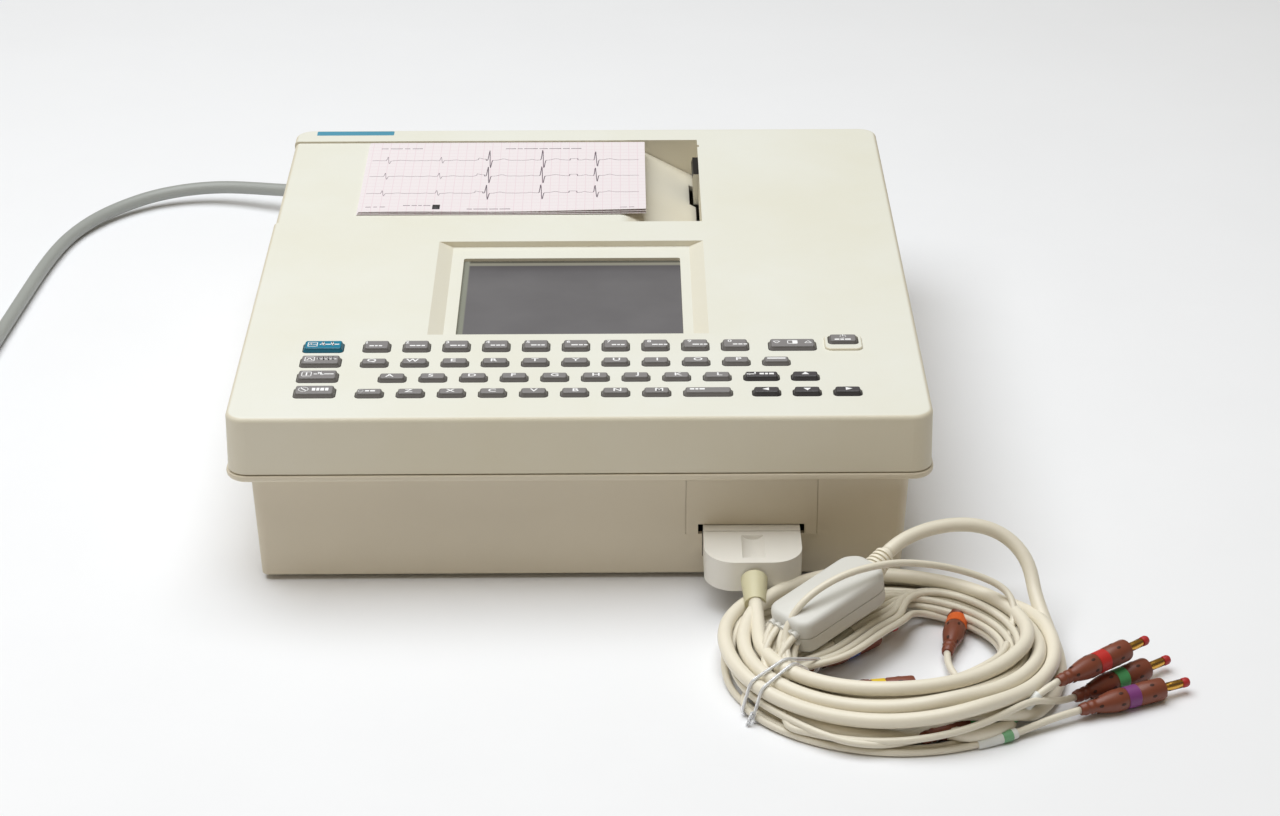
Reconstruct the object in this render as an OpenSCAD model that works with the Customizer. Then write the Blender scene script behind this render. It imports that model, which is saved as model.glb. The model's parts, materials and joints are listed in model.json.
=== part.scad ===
// Desktop electrocardiograph: a two-shell plastic case with a keyboard, a small
// display, a thermal writer under a hinged paper cover, and a patient cable.
// Millimetres. Origin at the middle of the case on the table, +X right, +Y back.

/* [Case] */
// Width of the upper shell at its lower edge
case_w = 346; // [340:1:420]
// Depth of the upper shell at its lower edge
case_d = 380; // [374:1:456]
// Height of the top face above the table
top_z = 97; // [93:0.5:125]
// Height of the seam between the two shells
seam_z = 66; // [62:0.5:72]
// Wall thickness of both shells
wall = 2.8; // [2.2:0.1:3.4]
// Corner radius of the case seen from above
corner_r = 10; // [7:0.5:14]
// Radius of the top edge
edge_r = 2.5; // [1.5:0.25:5]
// How much wider the upper shell is at its lower edge, each side
draft = 0.5; // [0.2:0.1:2]
// Step in from the rim to the wall of the lower shell
tub_inset = 10; // [7:0.5:14]
// How much the lower shell narrows towards the table, each side
tub_taper = 2.6; // [1:0.1:3]
// Height of the rubber feet
foot_h = 3; // [2:0.5:5]

/* [Display] */
// Width of the display opening
window_w = 117.4; // [100:0.2:124]
// Height of the display opening
window_h = 96.6; // [80:0.2:98]
// Depth of the sunk frame round the display
frame_depth = 3.4; // [1.5:0.1:3.6]

/* [Keyboard] */
// Distance between key columns
key_pitch = 20.2; // [18:0.1:21]
// Distance between key rows
row_pitch = 17; // [16:0.1:18]
// Width of a letter key
key_w = 13.8; // [11:0.2:15]
// Depth of a letter key, front to back
key_d = 7.4; // [6:0.2:9]
// How far a key stands above the case
key_rise = 2.2; // [2:0.1:3.5]
// Key travel
key_travel = 1.5; // [0.8:0.1:2]
// Gap round a key in its hole
key_gap = 0.35; // [0.25:0.05:0.6]

/* [Paper cover and writer] */
// Front-to-back width of the paper channel
channel_w = 121.2; // [116:0.2:124]
// Depth of the flat part of the paper channel
channel_depth = 1; // [0.6:0.1:2]
// Slope of the paper ramp in degrees
ramp_angle = 28; // [24:1:30]
// Width of the chart paper
paper_w = 105; // [98:1:110]
// Height of the folded paper pack
stack_h = 22; // [8:1:24]
// Radius of the platen roller
platen_r = 9.5; // [8:0.25:10]
// Gear module of the paper drive
gear_m = 0.8; // [0.7:0.05:0.85]

/* [Cables] */
// Diameter of the patient trunk cable
trunk_d = 7; // [5:0.5:8]
// Diameter of one lead wire
lead_d = 3.5; // [2.5:0.5:4]
// Diameter of the mains cable
mains_d = 8; // [6:0.5:9]

/* [Hidden] */
$fn = 48;

// Colours
ivory = "#e8e6dc";
ivory_shade = "#dad6c8";
key_grey = "#767476";
key_dark = "#4b484c";
key_teal = "#0a7d9b";
cable_cream = "#dcd6c4";
board_green = "#2f6b46";
rubber_black = "#222222";
steel = "#b9bcc0";

// Case frame: edges, inner faces and clearances
front = -case_d / 2;
rear = case_d / 2;
half_w = case_w / 2;
fit = 0.3;                                  // gap between pieces that seat
shaft_gap = 0.05;                           // radial gap of a running shaft
roof_z = top_z - wall;                      // underside of the top wall
in_w = case_w - 2 * (draft + wall);         // inside of the upper shell
in_d = case_d - 2 * (draft + wall);
in_r = corner_r - wall;
rim_h = 3.2;                                // height of the lower shell's rim
rim_lip = 0.8;                              // rim stands proud of the upper shell
seam_gap = 0.8;
tub_w = case_w - 2 * tub_inset;
tub_d = case_d - 2 * tub_inset;
tub_r = 6;
tub_h = seam_z - foot_h - rim_h;            // height of the tub's walls
tub_top_r = 0.5;
floor_z = foot_h + wall;                    // inner floor of the lower shell
tub_front = -tub_d / 2;
tub_rear = tub_d / 2;
foot_r = 8;
foot_seat = 1;
foot_in = 32;                               // foot centre from the tub's walls
post_r = 5;
post_x = tub_w / 2 - 12.5;
post_y = tub_d / 2 - 14;
post_top = seam_z - 2;
screw_r = 2;
screw_head_r = 3.7;
screw_len = 14;
screw_head_h = 2.6;

// Keyboard places, from the front edge and the middle of the case
lower_y = front + 26.4;
digit_step = 1.9;                           // extra space in front of the digit row
row_y = [for (k = [0:3]) lower_y + row_pitch * k + (k == 3 ? digit_step : 0)];
first_x = -103.5;
digit_d = 10.5;                             // digit keys are deeper than letters
func_x = -130.6;
func_w = 20.4;
func_d = 10.8;
func_pitch = 17;
func_y0 = front + 28.4;
arrow_x = 112;
arrow_pitch = 20;
enter_w = 17.6;
enter_x = 90.2;
space_w = 24;
space_x = 63.2;
bar_x = 98.4;
contrast_w = 24;
contrast_x = 107.4;
standby_x = 133.4;
standby_w = 15;
standby_d = 9.5;
standby_y = front + 83.6;
standby_ring = 2.1;
standby_lip = 3;                            // the ring is wider in front of its key
standby_lift = 1.2;
key_r = 2;                                  // corner radius of a key cap
cap_lean = 0.8;                             // how much a cap narrows above the case
cap_edge = 0.9;
key_skirt = 1.2;                            // flange round a key under the shell
flange_h = 1.1;
dome_r = 2;
dome_h = 2;
flange_z = roof_z - fit - flange_h;         // underside of a key's flange
mat_h = 1.2;
mat_z = flange_z - key_travel - 0.25 - mat_h;
board_h = 1.6;
func_keys = [for (k = [0:3]) [func_x, func_y0 + func_pitch * (3 - k), func_w, func_d]];
digit_set = [for (k = [0:9]) [first_x + key_pitch * k, row_y[3], key_w, digit_d]];
upper_set = [for (k = [0:9]) [first_x + key_pitch * k, row_y[2], key_w, key_d]];
home_set = [for (k = [0:8]) [first_x + key_pitch * (k + 0.5), row_y[1], key_w, key_d]];
lower_set = [for (k = [0:7]) [first_x + key_pitch * k, row_y[0], key_w, key_d]];
bar_spec = [bar_x, row_y[2], key_w, key_d];
enter_spec = [enter_x, row_y[1], enter_w, key_d];
space_spec = [space_x, row_y[0], space_w, key_d];
up_spec = [arrow_x, row_y[1], key_w, key_d];
down_spec = [arrow_x, row_y[0], key_w, key_d];
left_spec = [arrow_x - arrow_pitch, row_y[0], key_w, key_d];
right_spec = [arrow_x + arrow_pitch, row_y[0], key_w, key_d];
contrast_spec = [contrast_x, row_y[3], contrast_w, digit_d];
standby_spec = [standby_x, standby_y, standby_w, standby_d];
all_keys = concat(func_keys, digit_set, upper_set, home_set, lower_set,
    [bar_spec, enter_spec, space_spec, up_spec, down_spec, left_spec, right_spec,
     contrast_spec, standby_spec]);
mat_x0 = func_x - func_w / 2 - 4;
mat_x1 = arrow_x + arrow_pitch + key_w / 2 + 5;
mat_y0 = row_y[0] - key_d / 2 - 4;
mat_y1 = row_y[3] + func_d / 2 + 4;
mat_posts = [[func_x + 14.9, row_y[0] - 2], [func_x + 14.9, row_y[3]], [enter_x + 31.5, row_y[2] + 4],
             [enter_x + 51, row_y[1]]];
mat_post_r = 2.4;

// Display places
window_x = -6.1;
window_y = front + 149.4;
frame_x = window_x - 0.6;                   // middle of the sunk frame
frame_y = window_y + 4.5;
frame_w = window_w + 27;
frame_d = window_h + 21.6;
frame_slope = 7.6;
bezel_t = 1.7;                              // plastic left under the sunk frame
pane_lap = 4;
pane_t = 1.5;
frame_floor = top_z - frame_depth;
pane_top = frame_floor - bezel_t;
lcd_h = 9;

// Paper channel and cover. The cover's axis runs front to back at its left end.
chan_y1 = rear - 19;
chan_y0 = chan_y1 - channel_w;
chan_mid = (chan_y0 + chan_y1) / 2;
chan_right = 65.6;
cover_t = 2.5;
cover_top = top_z - channel_depth;
knuckle_r = 3.2;
hinge_x = -half_w + draft + knuckle_r + 0.4;
hinge_z = cover_top - knuckle_r;
pin_r = 1.5;
pin_len = 3;
side_gap = 0.5;                             // gap beside the cover
// screw posts: three corners, and in front of the paper channel at the left
post_places = [[-post_x, -post_y], [post_x, -post_y], [post_x, post_y],
               [-post_x, chan_y0 - 11]];
ramp_x0 = 19;                               // where the ramp starts to fall
bend_r = 14;                                // radius of the bend into the ramp
ramp_x1 = 64;                               // end of the ramp
ramp_end = ramp_point(bend_r, ramp_angle);  // where the bend meets the straight ramp
ramp_z1 = ramp_end[1] - (ramp_x1 - ramp_end[0]) * tan(ramp_angle);
ramp_under = cover_t / cos(ramp_angle);     // upright thickness of the ramp
cheek_t = 2.4;                              // walls of the paper channel
cheek_z = top_z - 10;
deep_x = 6;                                 // the cheeks go deeper from here on
deep_z = 71.5;
slot_z = ramp_z1 + 4.2;                     // upper edge of the paper slot
latch_y0 = chan_y1 - 46;
latch_len = 26;
latch_x = 61.8;                             // blade, in a notch of the cover's end
latch_notch = 60.4;
nose_x = ramp_x1 + 1.3;                     // the cover's end swings past this clear
latch_t = 3.4;
latch_top = top_z - 3;
spring_rib_x = chan_right + 10;             // rib that carries the latch spring
spring_len = 6.4;
spring_z = slot_z + 4;

// Writer: the platen lies right of the channel, under the case
platen_x = 77;
platen_z = 73.6 - platen_r;
platen_shaft_r = 3;
platen_len = paper_w + 2;
frame_t = 2.5;
frame_y0 = chan_mid - platen_len / 2 - 1.5 - frame_t;
frame_y1 = chan_mid + platen_len / 2 + 1.5;
gear_w = 4;
gear_y = frame_y1 + frame_t + 1;
pinion_teeth = 12;
idler_teeth = 30;
platen_teeth = 24;
gear_play = 0.12;                           // added to the distance between axes
idler_x = platen_x + 14;
idler_dist = gear_m * (idler_teeth + platen_teeth) / 2 + gear_play;
idler_z = platen_z - sqrt(pow(idler_dist, 2) - pow(idler_x - platen_x, 2));
pinion_dist = gear_m * (idler_teeth + pinion_teeth) / 2 + gear_play;
motor_x = idler_x + pinion_dist * cos(20);
motor_z = idler_z - pinion_dist * sin(20);
motor_r = 14;
motor_len = 20;
motor_shaft_r = 1.5;
stud_r = 2;
frame_foot_z = floor_z + 6;
head_w = 9;
head_x = platen_x + 4;
head_z = platen_z + platen_r + 0.3;

// Paper tray and pack
stack_l = 160;
stack_x1 = 36;
tray_t = 2;
tray_floor = 46;
tray_wall = 26;
tray_x0 = stack_x1 - stack_l - 1.5 - tray_t;
tray_x1 = stack_x1 + 1.5 + tray_t;
tray_d = paper_w + 3 + 2 * tray_t;
page_t = 2;                                 // folded sheets that lie on the cover
page_x1 = 34.6;
page_x0 = -127.6;
page_y = chan_mid + 4;

// Patient connector
panel_w = 65;
panel_x = 84.8;
panel_z0 = 26;
panel_z1 = 61;
panel_t = 2;
panel_sink = 0.6;
slot_w = 53;
slot_z0 = 13;
slot_z1 = 32;
hood_w = 48;
hood_h = 16;
hood_z = 23.5;
hood_front = tub_front - 37;
hood_back = tub_front + 8;
hood_r = 15;
socket_y = hood_back + fit;

// Mains inlet
inlet_x = -100;
inlet_z = 28;
inlet_w = 27.6;
inlet_h = 20;
plug_w = 24;
plug_h = 16.5;
inlet_y = tub_rear - 3;                     // the wall leans in here
plug_y1 = inlet_y + 26;
boot_y1 = plug_y1 + 30;

// Cable routes: round numbers in millimetres on the table
coil_x = 148;
coil_y = -263;
coil_stretch = 7;
coil_in = 46;
coil_out = 75;
coil_low_h = 12.5;
coil_high_h = 25;
trunk_in = [[84.8, -234, 19], [85, -240, 17.5], [86, -247, 15.5], [88, -254, 13], [91, -262, 10]];
arch = [[148, -225, 40.8], [151.5, -220.5, 41.9], [156, -216, 42.8], [163, -211, 43.8],
        [172, -206.5, 44.5], [184, -203, 44.5], [197, -201.5, 42.5], [208, -203, 38], [216, -209, 32], [220, -217, 25], [221, -226, 18],
        [220, -234, 10]];
mains_route = [[-100, 233, 28], [-101, 245, 27], [-106, 258, 25], [-116, 270, 22.5],
    [-131, 280, 20], [-150, 286, 18], [-171, 290, 16], [-193, 295, 14], [-214, 302, 12.5],
    [-236, 308, 11], [-258, 308, 9.5], [-280, 301, 8], [-299, 287, 6.5], [-314, 268, 5.5],
    [-325, 245, 4.5], [-331, 219, 4.5], [-335, 190, 4.5], [-338, 160, 4.5], [-341, 128, 4.5],
    [-344, 95, 4.5], [-346, 68, 4.5], [-348, 42, 4.5], [-348, 20, 4.5]];
mains_tail = [[-452, 20, 4.5], [-452, 32, 5.5], [-452, 44, 8.5], [-452, 55, 11]];
mains_coil_x = -400;
mains_coil_y = 15;
mains_coil_in = 32;
mains_coil_out = 56;
mains_coil_h = 24;
module_at = [120, -252, 30];
module_turn = 40;
module_rise = 10;
module_t = 18;
lead_routes = [
    [[218, -302.5, 2.2], [223, -306.5, 3], [227, -309, 4.4], [232, -310, 5.6]],
    [[205, -308, 15], [211, -309, 16.5], [217, -307.5, 17.5], [222, -304, 17.5]],
    [[220, -296.5, 4], [226, -298.5, 5], [231, -299, 5.6]],
    [[193.5, -291.5, 10.5], [184, -284.5, 9.5], [177.5, -275, 7], [175, -267, 5.8], [175.5, -259.5, 5.6]],
    [[95.5, -265.7, 2.5], [98, -263.6, 4.2], [100.5, -261.5, 5.6]],
    [[99.5, -279, 2.5], [103.5, -275.6, 4.2], [108, -271.5, 5.6]],
    [[106.5, -299, 2.5], [109.5, -297.4, 4.2], [113, -296, 5.6]],
    [[135.4, -317.6, 2.5], [140.4, -315, 4.2], [145.4, -312.3, 5.6]],
    [[141, -328, 2.5], [146, -325.5, 4], [151, -322.8, 5.6]],
    [[147.5, -337.5, 2.5], [152, -335.5, 4], [156.5, -333.2, 5.6]]];

// ---------- shared shapes ----------

// A flat rectangle with round corners
module round_rect(w, d, r) {
    square([w - 2 * r, d], center = true);
    square([w, d - 2 * r], center = true);
    for (sx = [-1, 1], sy = [-1, 1])
        translate([sx * (w / 2 - r), sy * (d / 2 - r)]) circle(r);
}

module round_block(w, d, h, r) {
    linear_extrude(h) round_rect(w, d, r);
}

// A block between two corners
module span(lo, hi) {
    translate(lo) cube(hi - lo);
}

// Outline of a case edge, x outward from the corner's centre, z up from its foot
module edge_outline(r, h, top_r, spread, foot_r) {
    difference() {
        union() {
            polygon([[0, 0], [r + spread, 0], [r, h - top_r], [0, h - top_r]]);
            translate([0, h - top_r - 0.01]) square([r - top_r, top_r + 0.01]);
            intersection() {
                translate([r - top_r, h - top_r]) circle(top_r);
                translate([r - top_r, h - top_r - 0.01]) square([top_r, top_r + 0.01]);
            }
        }
        if (foot_r > 0)
            translate([r + spread - foot_r, 0]) difference() {
                translate([0, -1]) square([foot_r + 1, foot_r + 1]);
                translate([0, foot_r]) circle(foot_r);
            }
    }
}

// A block whose four sides and corners all follow one edge outline
module edged_block(w, d, r, h, top_r, spread = 0, foot_r = 0) {
    for (sx = [-1, 1], sy = [-1, 1])
        translate([sx * (w / 2 - r), sy * (d / 2 - r), 0])
            rotate_extrude() edge_outline(r, h, top_r, spread, foot_r);
    for (turn = [0, 90]) {
        across = turn == 0 ? w : d;
        along = turn == 0 ? d : w;
        rotate(turn) translate([0, along / 2 - r, 0]) rotate([90, 0, 0])
            linear_extrude(along - 2 * r) {
                for (side = [0, 1]) mirror([side, 0])
                    translate([across / 2 - r, 0]) edge_outline(r, h, top_r, spread, foot_r);
                translate([-(across / 2 - r) - 0.01, 0]) square([across - 2 * r + 0.02, h]);
            }
    }
}

// Involute gear: pitch radius m * teeth / 2, flanks thinned by play
function involute(base, t) = [base * (cos(t) + t * PI / 180 * sin(t)),
                              base * (sin(t) - t * PI / 180 * cos(t))];
function turn_point(p, a) = [p[0] * cos(a) - p[1] * sin(a), p[0] * sin(a) + p[1] * cos(a)];
function gear_outline(m, teeth, play = 0.15) =
    let (pitch = m * teeth / 2, base = pitch * cos(20), tip = pitch + 0.9 * m,
         root = pitch - 1.2 * m, roll = acos(base / tip), end = tan(roll) * 180 / PI,
         start = root > base ? tan(acos(base / root)) * 180 / PI : 0,
         inv20 = tan(20) * 180 / PI - 20,
         half = 90 / teeth + inv20 - play / pitch * 90 / PI,
         flank = [for (k = [0:3]) involute(base, start + (end - start) * k / 3)])
    [for (n = [0:teeth - 1]) each let (a = 360 / teeth * n) concat(
        [turn_point([root, 0], a - half)],
        [for (p = flank) turn_point(p, a - half)],
        [for (k = [3:-1:0]) turn_point([flank[k][0], -flank[k][1]], a + half)],
        [turn_point([root, 0], a + half)])];

// Gear with its axis along Y
module gear(teeth, bore_r, phase = 0) {
    rotate([-90, 0, 0]) linear_extrude(gear_w) difference() {
        rotate(phase) polygon(gear_outline(gear_m, teeth));
        circle(bore_r);
    }
}

// Rod along Y
module rod_y(x, y, z, r, len) {
    translate([x, y, z]) rotate([-90, 0, 0]) cylinder(r = r, h = len);
}

// Tube swept along a list of points
function unit(v) = v / norm(v);
function heading(p, i) = unit(p[min(i + 1, len(p) - 1)] - p[max(i - 1, 0)]);
function sweep_ring(p, i, r, n) =
    let (t = heading(p, i), s = unit(cross(t, [0, 0, 1])), u = cross(s, t))
    [for (k = [0:n - 1]) p[i] + r * cos(360 * k / n) * s + r * sin(360 * k / n) * u];
module swept_tube(p, d, n = 8) {
    rings = len(p);
    polyhedron(
        points = [for (i = [0:rings - 1]) each sweep_ring(p, i, d / 2, n)],
        faces = concat([[for (k = [n - 1:-1:0]) k]],
            [for (i = [0:rings - 2], k = [0:n - 1])
                [i * n + k, i * n + (k + 1) % n, (i + 1) * n + (k + 1) % n, (i + 1) * n + k]],
            [[for (k = [0:n - 1]) (rings - 1) * n + k]]));
}

// ---------- case ----------

module upper_outer() {
    h = top_z - seam_z - seam_gap;
    translate([0, 0, seam_z + seam_gap])
        edged_block(case_w - 2 * draft, case_d - 2 * draft, corner_r, h, edge_r, draft);
}

module key_hole(spec) {
    translate([spec[0], spec[1], roof_z - 3])
        round_block(spec[2] + 2 * key_gap, spec[3] + 2 * key_gap, wall + standby_lift + 6,
            key_r + key_gap);
}

module display_cut() {
    translate([frame_x, frame_y + frame_d / 2, 0]) rotate([90, 0, 0])
        linear_extrude(frame_d) polygon([
            [-frame_w / 2, top_z + 1], [-frame_w / 2, top_z],
            [-frame_w / 2 + frame_slope, frame_floor], [frame_w / 2 - frame_slope, frame_floor],
            [frame_w / 2, top_z], [frame_w / 2, top_z + 1]]);
    translate([window_x, window_y, pane_top - 1])
        round_block(window_w, window_h, frame_depth + 5, 1.5);
}

// Walls that hang from the roof round the paper channel
module channel_walls() {
    for (y = [chan_y0 - cheek_t, chan_y1]) {
        span([hinge_x - 1, y, cheek_z], [chan_right + cheek_t, y + cheek_t, roof_z + 0.5]);
        span([deep_x, y, deep_z], [chan_right + cheek_t, y + cheek_t, cheek_z + 0.5]);
    }
    span([chan_right, chan_y0, slot_z], [chan_right + cheek_t, chan_y1, roof_z + 0.5]);
    // rib with a stub that carries the latch spring
    span([spring_rib_x, latch_y0 + latch_len / 2 - 4, spring_z - 3],
        [spring_rib_x + 1.6, latch_y0 + latch_len / 2 + 4, roof_z + 0.5]);
    translate([spring_rib_x - 2.4, latch_y0 + latch_len / 2, spring_z]) rotate([0, 90, 0])
        cylinder(r = 1.3, h = 2.5);
}

module channel_cut() {
    span([hinge_x, chan_y0, roof_z - 0.5], [chan_right, chan_y1, top_z + 1]);
    // the cover's round end replaces the case edge here
    span([-half_w - 1, chan_y0, hinge_z - knuckle_r - fit], [hinge_x + 0.1, chan_y1, top_z + 1]);
    for (y = [chan_y0 - pin_len - fit, chan_y1 - 0.1])
        rod_y(hinge_x, y, hinge_z, pin_r + shaft_gap, pin_len + fit + 0.1);
    // pocket that takes the latch when it is pushed back
    span([chan_right - 1, latch_y0 - 1, slot_z - 1],
        [chan_right + cheek_t + 1, latch_y0 + latch_len + 1, top_z - 1.6]);
    span([chan_right - 1, latch_y0 + latch_len + 9, top_z - 3], [chan_right + 1, latch_y0 + latch_len + 12,
        top_z + 1]);
}

module upper_shell() {
    color(ivory) difference() {
        union() {
            difference() {
                upper_outer();
                translate([0, 0, seam_z - 1])
                    round_block(in_w, in_d, roof_z - seam_z + 1, in_r);
            }
            span([frame_x - frame_w / 2 - 3, frame_y - frame_d / 2 - 3, pane_top],
                [frame_x + frame_w / 2 + 3, frame_y + frame_d / 2 + 3, roof_z + 0.5]);
            channel_walls();
            for (p = mat_posts) translate([p[0], p[1], mat_z + mat_h])
                cylinder(r = mat_post_r, h = roof_z - mat_z);
            for (p = post_places) translate([p[0], p[1], post_top])
                cylinder(r = post_r, h = roof_z - post_top + 0.5);
            translate([standby_x, standby_y - standby_lip / 2, top_z - 0.5]) edged_block(
                standby_w + 2 * standby_ring, standby_d + 2 * standby_ring + standby_lip, 3.5,
                0.5 + standby_lift, 0.8);
        }
        display_cut();
        channel_cut();
        for (k = all_keys) key_hole(k);
        for (p = post_places) translate([p[0], p[1], post_top - 1])
            cylinder(r = screw_r + shaft_gap, h = screw_len + 2);
    }
}

module lower_shell() {
    color(ivory_shade) difference() {
        union() {
            translate([0, 0, foot_h])
                edged_block(tub_w, tub_d, tub_r, tub_h, tub_top_r, -tub_taper, 0.8);
            translate([0, 0, seam_z - rim_h - 0.5]) edged_block(case_w + 2 * rim_lip,
                case_d + 2 * rim_lip, corner_r + rim_lip, rim_h + 0.5, 0.5, 0, 2.4);
            // lip that locates the upper shell
            translate([0, 0, seam_z - 1])
                round_block(in_w - 2 * fit, in_d - 2 * fit, 4, in_r - fit);
        }
        difference() {
            union() {
                translate([0, 0, floor_z]) edged_block(tub_w - 2 * wall, tub_d - 2 * wall,
                    tub_r - wall, tub_h - wall, tub_top_r, -tub_taper);
                translate([0, 0, seam_z - rim_h - 1])
                    round_block(tub_w - 2 * wall, tub_d - 2 * wall, 20, tub_r - wall);
                translate([0, 0, seam_z - 1 + 0.6])
                    round_block(in_w - 2 * fit - 3, in_d - 2 * fit - 3, 10, in_r - fit - 1.5);
            }
            for (p = post_places) translate([p[0], p[1], 0])
                cylinder(r = post_r, h = post_top);
            for (x = [tray_x0 + 12, tray_x1 - 12], y = [chan_mid - 45, chan_mid + 45])
                translate([x, y, 0]) cylinder(r = 4, h = tray_floor);
        }
        for (p = post_places) translate([p[0], p[1], -1]) {
            cylinder(r = screw_r + shaft_gap, h = 100);
            cylinder(r = screw_head_r + 0.15, h = 1 + post_top - 6);
        }
        for (sx = [-1, 1], sy = [-1, 1])
            translate([sx * (tub_w / 2 - foot_in), sy * (tub_d / 2 - foot_in), foot_h - 1])
                cylinder(r = foot_r + 0.15, h = 1 + foot_seat);
        // opening for the patient connector, with a sunk seat for its panel
        span([panel_x - hood_w / 2 - 0.4, tub_front - 1, slot_z0],
            [panel_x + hood_w / 2 + 0.4, tub_front + wall + tub_taper + 1, slot_z1]);
        span([panel_x - slot_w / 2, tub_front + panel_sink, panel_z0],
            [panel_x + slot_w / 2, tub_front + wall + tub_taper + 1, panel_z1 - 4]);
        span([panel_x - panel_w / 2 - 0.2, tub_front - 1, panel_z0],
            [panel_x + panel_w / 2 + 0.2, tub_front + panel_sink + panel_t, panel_z1]);
        span([inlet_x - inlet_w / 2, tub_rear - wall - tub_taper - 1, inlet_z - inlet_h / 2],
            [inlet_x + inlet_w / 2, tub_rear + 1, inlet_z + inlet_h / 2]);
    }
}

module rubber_feet() {
    color(rubber_black) for (sx = [-1, 1], sy = [-1, 1])
        translate([sx * (tub_w / 2 - foot_in), sy * (tub_d / 2 - foot_in), 0])
            rotate_extrude() polygon([[0, 0], [foot_r - 1.2, 0], [foot_r - 0.4, 0.8],
                [foot_r, foot_h + foot_seat], [0, foot_h + foot_seat]]);
}

module case_screws() {
    color(steel) for (p = post_places)
        translate([p[0], p[1], post_top - 6 - screw_head_h]) difference() {
            union() {
                cylinder(r = screw_head_r, h = screw_head_h);
                cylinder(r = screw_r, h = screw_head_h + screw_len);
            }
            for (a = [0, 90]) rotate(a) span([-2.2, -0.45, -1], [2.2, 0.45, 1.4]);
        }
}

module connector_panel() {
    y = tub_front + panel_sink;
    color(ivory_shade) difference() {
        span([panel_x - panel_w / 2, y, panel_z0 + 0.2], [panel_x + panel_w / 2, y + panel_t, panel_z1 - 0.2]);
        span([panel_x - slot_w / 2, y - 1, panel_z0 - 1],
            [panel_x + slot_w / 2, y + panel_t + 1, slot_z1]);
    }
}

module patient_socket() {
    d_outline = [[-13, -5], [13, -5], [14.6, 5], [-14.6, 5]];
    color(steel) difference() {
        union() {
            translate([panel_x - 19.6, socket_y + 2, hood_z - 6.3]) cube([39.2, 1, 12.6]);
            translate([panel_x, socket_y + 8, hood_z]) rotate([90, 0, 0])
                linear_extrude(8) polygon(d_outline);
            span([panel_x - 19, socket_y + 3, hood_z - 8], [panel_x + 19, socket_y + 11, hood_z + 6]);
            for (s = [-1, 1]) rod_y(panel_x + s * 16.7, socket_y + 0.5, hood_z, 2.4, 4);
        }
        for (s = [-1, 1]) rod_y(panel_x + s * 16.7, socket_y, hood_z, 1.4, 6);
        for (k = [0:14])
            rod_y(panel_x + (k % 8 - 3.5 + (k > 7 ? 0.5 : 0)) * 2.77, socket_y - 1,
                hood_z + (k > 7 ? -1.42 : 1.42), 0.7, 5);
    }
}

// ---------- display ----------

module display_window() {
    color("#70707a") translate([window_x, window_y, pane_top - pane_t])
        round_block(window_w + 2 * pane_lap, window_h + 2 * pane_lap, pane_t, 2);
}

module display_module() {
    z = pane_top - pane_t - lcd_h - 0.2;
    color("#8d9091") difference() {
        translate([window_x, window_y, z])
            round_block(window_w + 16, window_h + 12, lcd_h, 2);
        translate([window_x, window_y, z + lcd_h - 1.2])
            round_block(window_w - 3, window_h - 3, 3, 1);
    }
}

// ---------- keyboard ----------

// One key: leaning cap, shaft, flange under the shell and a hollow for the dome
module key(spec, lift = 0) {
    w = spec[2];
    d = spec[3];
    cap_z = top_z + lift;
    translate([spec[0], spec[1], 0]) difference() {
        union() {
            translate([0, 0, flange_z]) {
                round_block(w + 2 * key_skirt, d + 2 * key_skirt, flange_h, key_r + key_skirt);
                round_block(w, d, cap_z - flange_z, key_r);
            }
            translate([0, 0, cap_z - 0.01]) edged_block(w - 2 * cap_lean, d - 2 * cap_lean,
                key_r - cap_lean, key_rise + 0.01, cap_edge, cap_lean);
        }
        translate([0, 0, flange_z - 1]) round_block(w - 4, d - 3, 4.6, 1);
    }
}

module key_mat() {
    color("#9a9a96") {
        difference() {
            span([mat_x0, mat_y0, mat_z], [mat_x1, mat_y1, mat_z + mat_h]);
            for (p = mat_posts) translate([p[0], p[1], mat_z - 1]) cylinder(r = 1, h = mat_h + 2);
            for (p = post_places) translate([p[0], p[1], mat_z - 1])
                cylinder(r = post_r + 1, h = mat_h + 2);
        }
        for (k = all_keys) translate([k[0], k[1], mat_z + mat_h - 0.1])
            cylinder(r1 = dome_r, r2 = dome_r - 0.8, h = dome_h);
    }
}

module keyboard_board() {
    color(board_green) difference() {
        span([mat_x0 + 1, mat_y0 + 1, mat_z - board_h], [mat_x1 - 1, mat_y1 - 1, mat_z]);
        for (p = mat_posts) translate([p[0], p[1], mat_z - board_h - 1])
            cylinder(r = 1, h = board_h + 2);
        for (p = post_places) translate([p[0], p[1], mat_z - board_h - 1])
            cylinder(r = post_r + 1, h = board_h + 2);
    }
}

module ecg_key() { color(key_teal) key(func_keys[0]); }
module rhythm_key() { color(key_grey) key(func_keys[1]); }
module manual_key() { color(key_grey) key(func_keys[2]); }
module stop_key() { color(key_grey) key(func_keys[3]); }
module standby_key() { color(key_grey) key(standby_spec, standby_lift - 0.6); }
module contrast_key() { color(key_grey) key(contrast_spec); }
module enter_key() { color(key_dark) key(enter_spec); }
module bar_key() { color(key_grey) key(bar_spec); }
module space_key() { color(key_grey) key(space_spec); }
module up_key() { color(key_dark) key(up_spec); }
module down_key() { color(key_dark) key(down_spec); }
module left_key() { color(key_dark) key(left_spec); }
module right_key() { color(key_dark) key(right_spec); }
module digit_keys() { color(key_grey) for (k = digit_set) key(k); }
module upper_row_keys() { color(key_grey) for (k = upper_set) key(k); }
module home_row_keys() { color(key_grey) for (k = home_set) key(k); }
module lower_row_keys() { color(key_grey) for (k = lower_set) key(k); }

// ---------- electronics ----------

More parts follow.
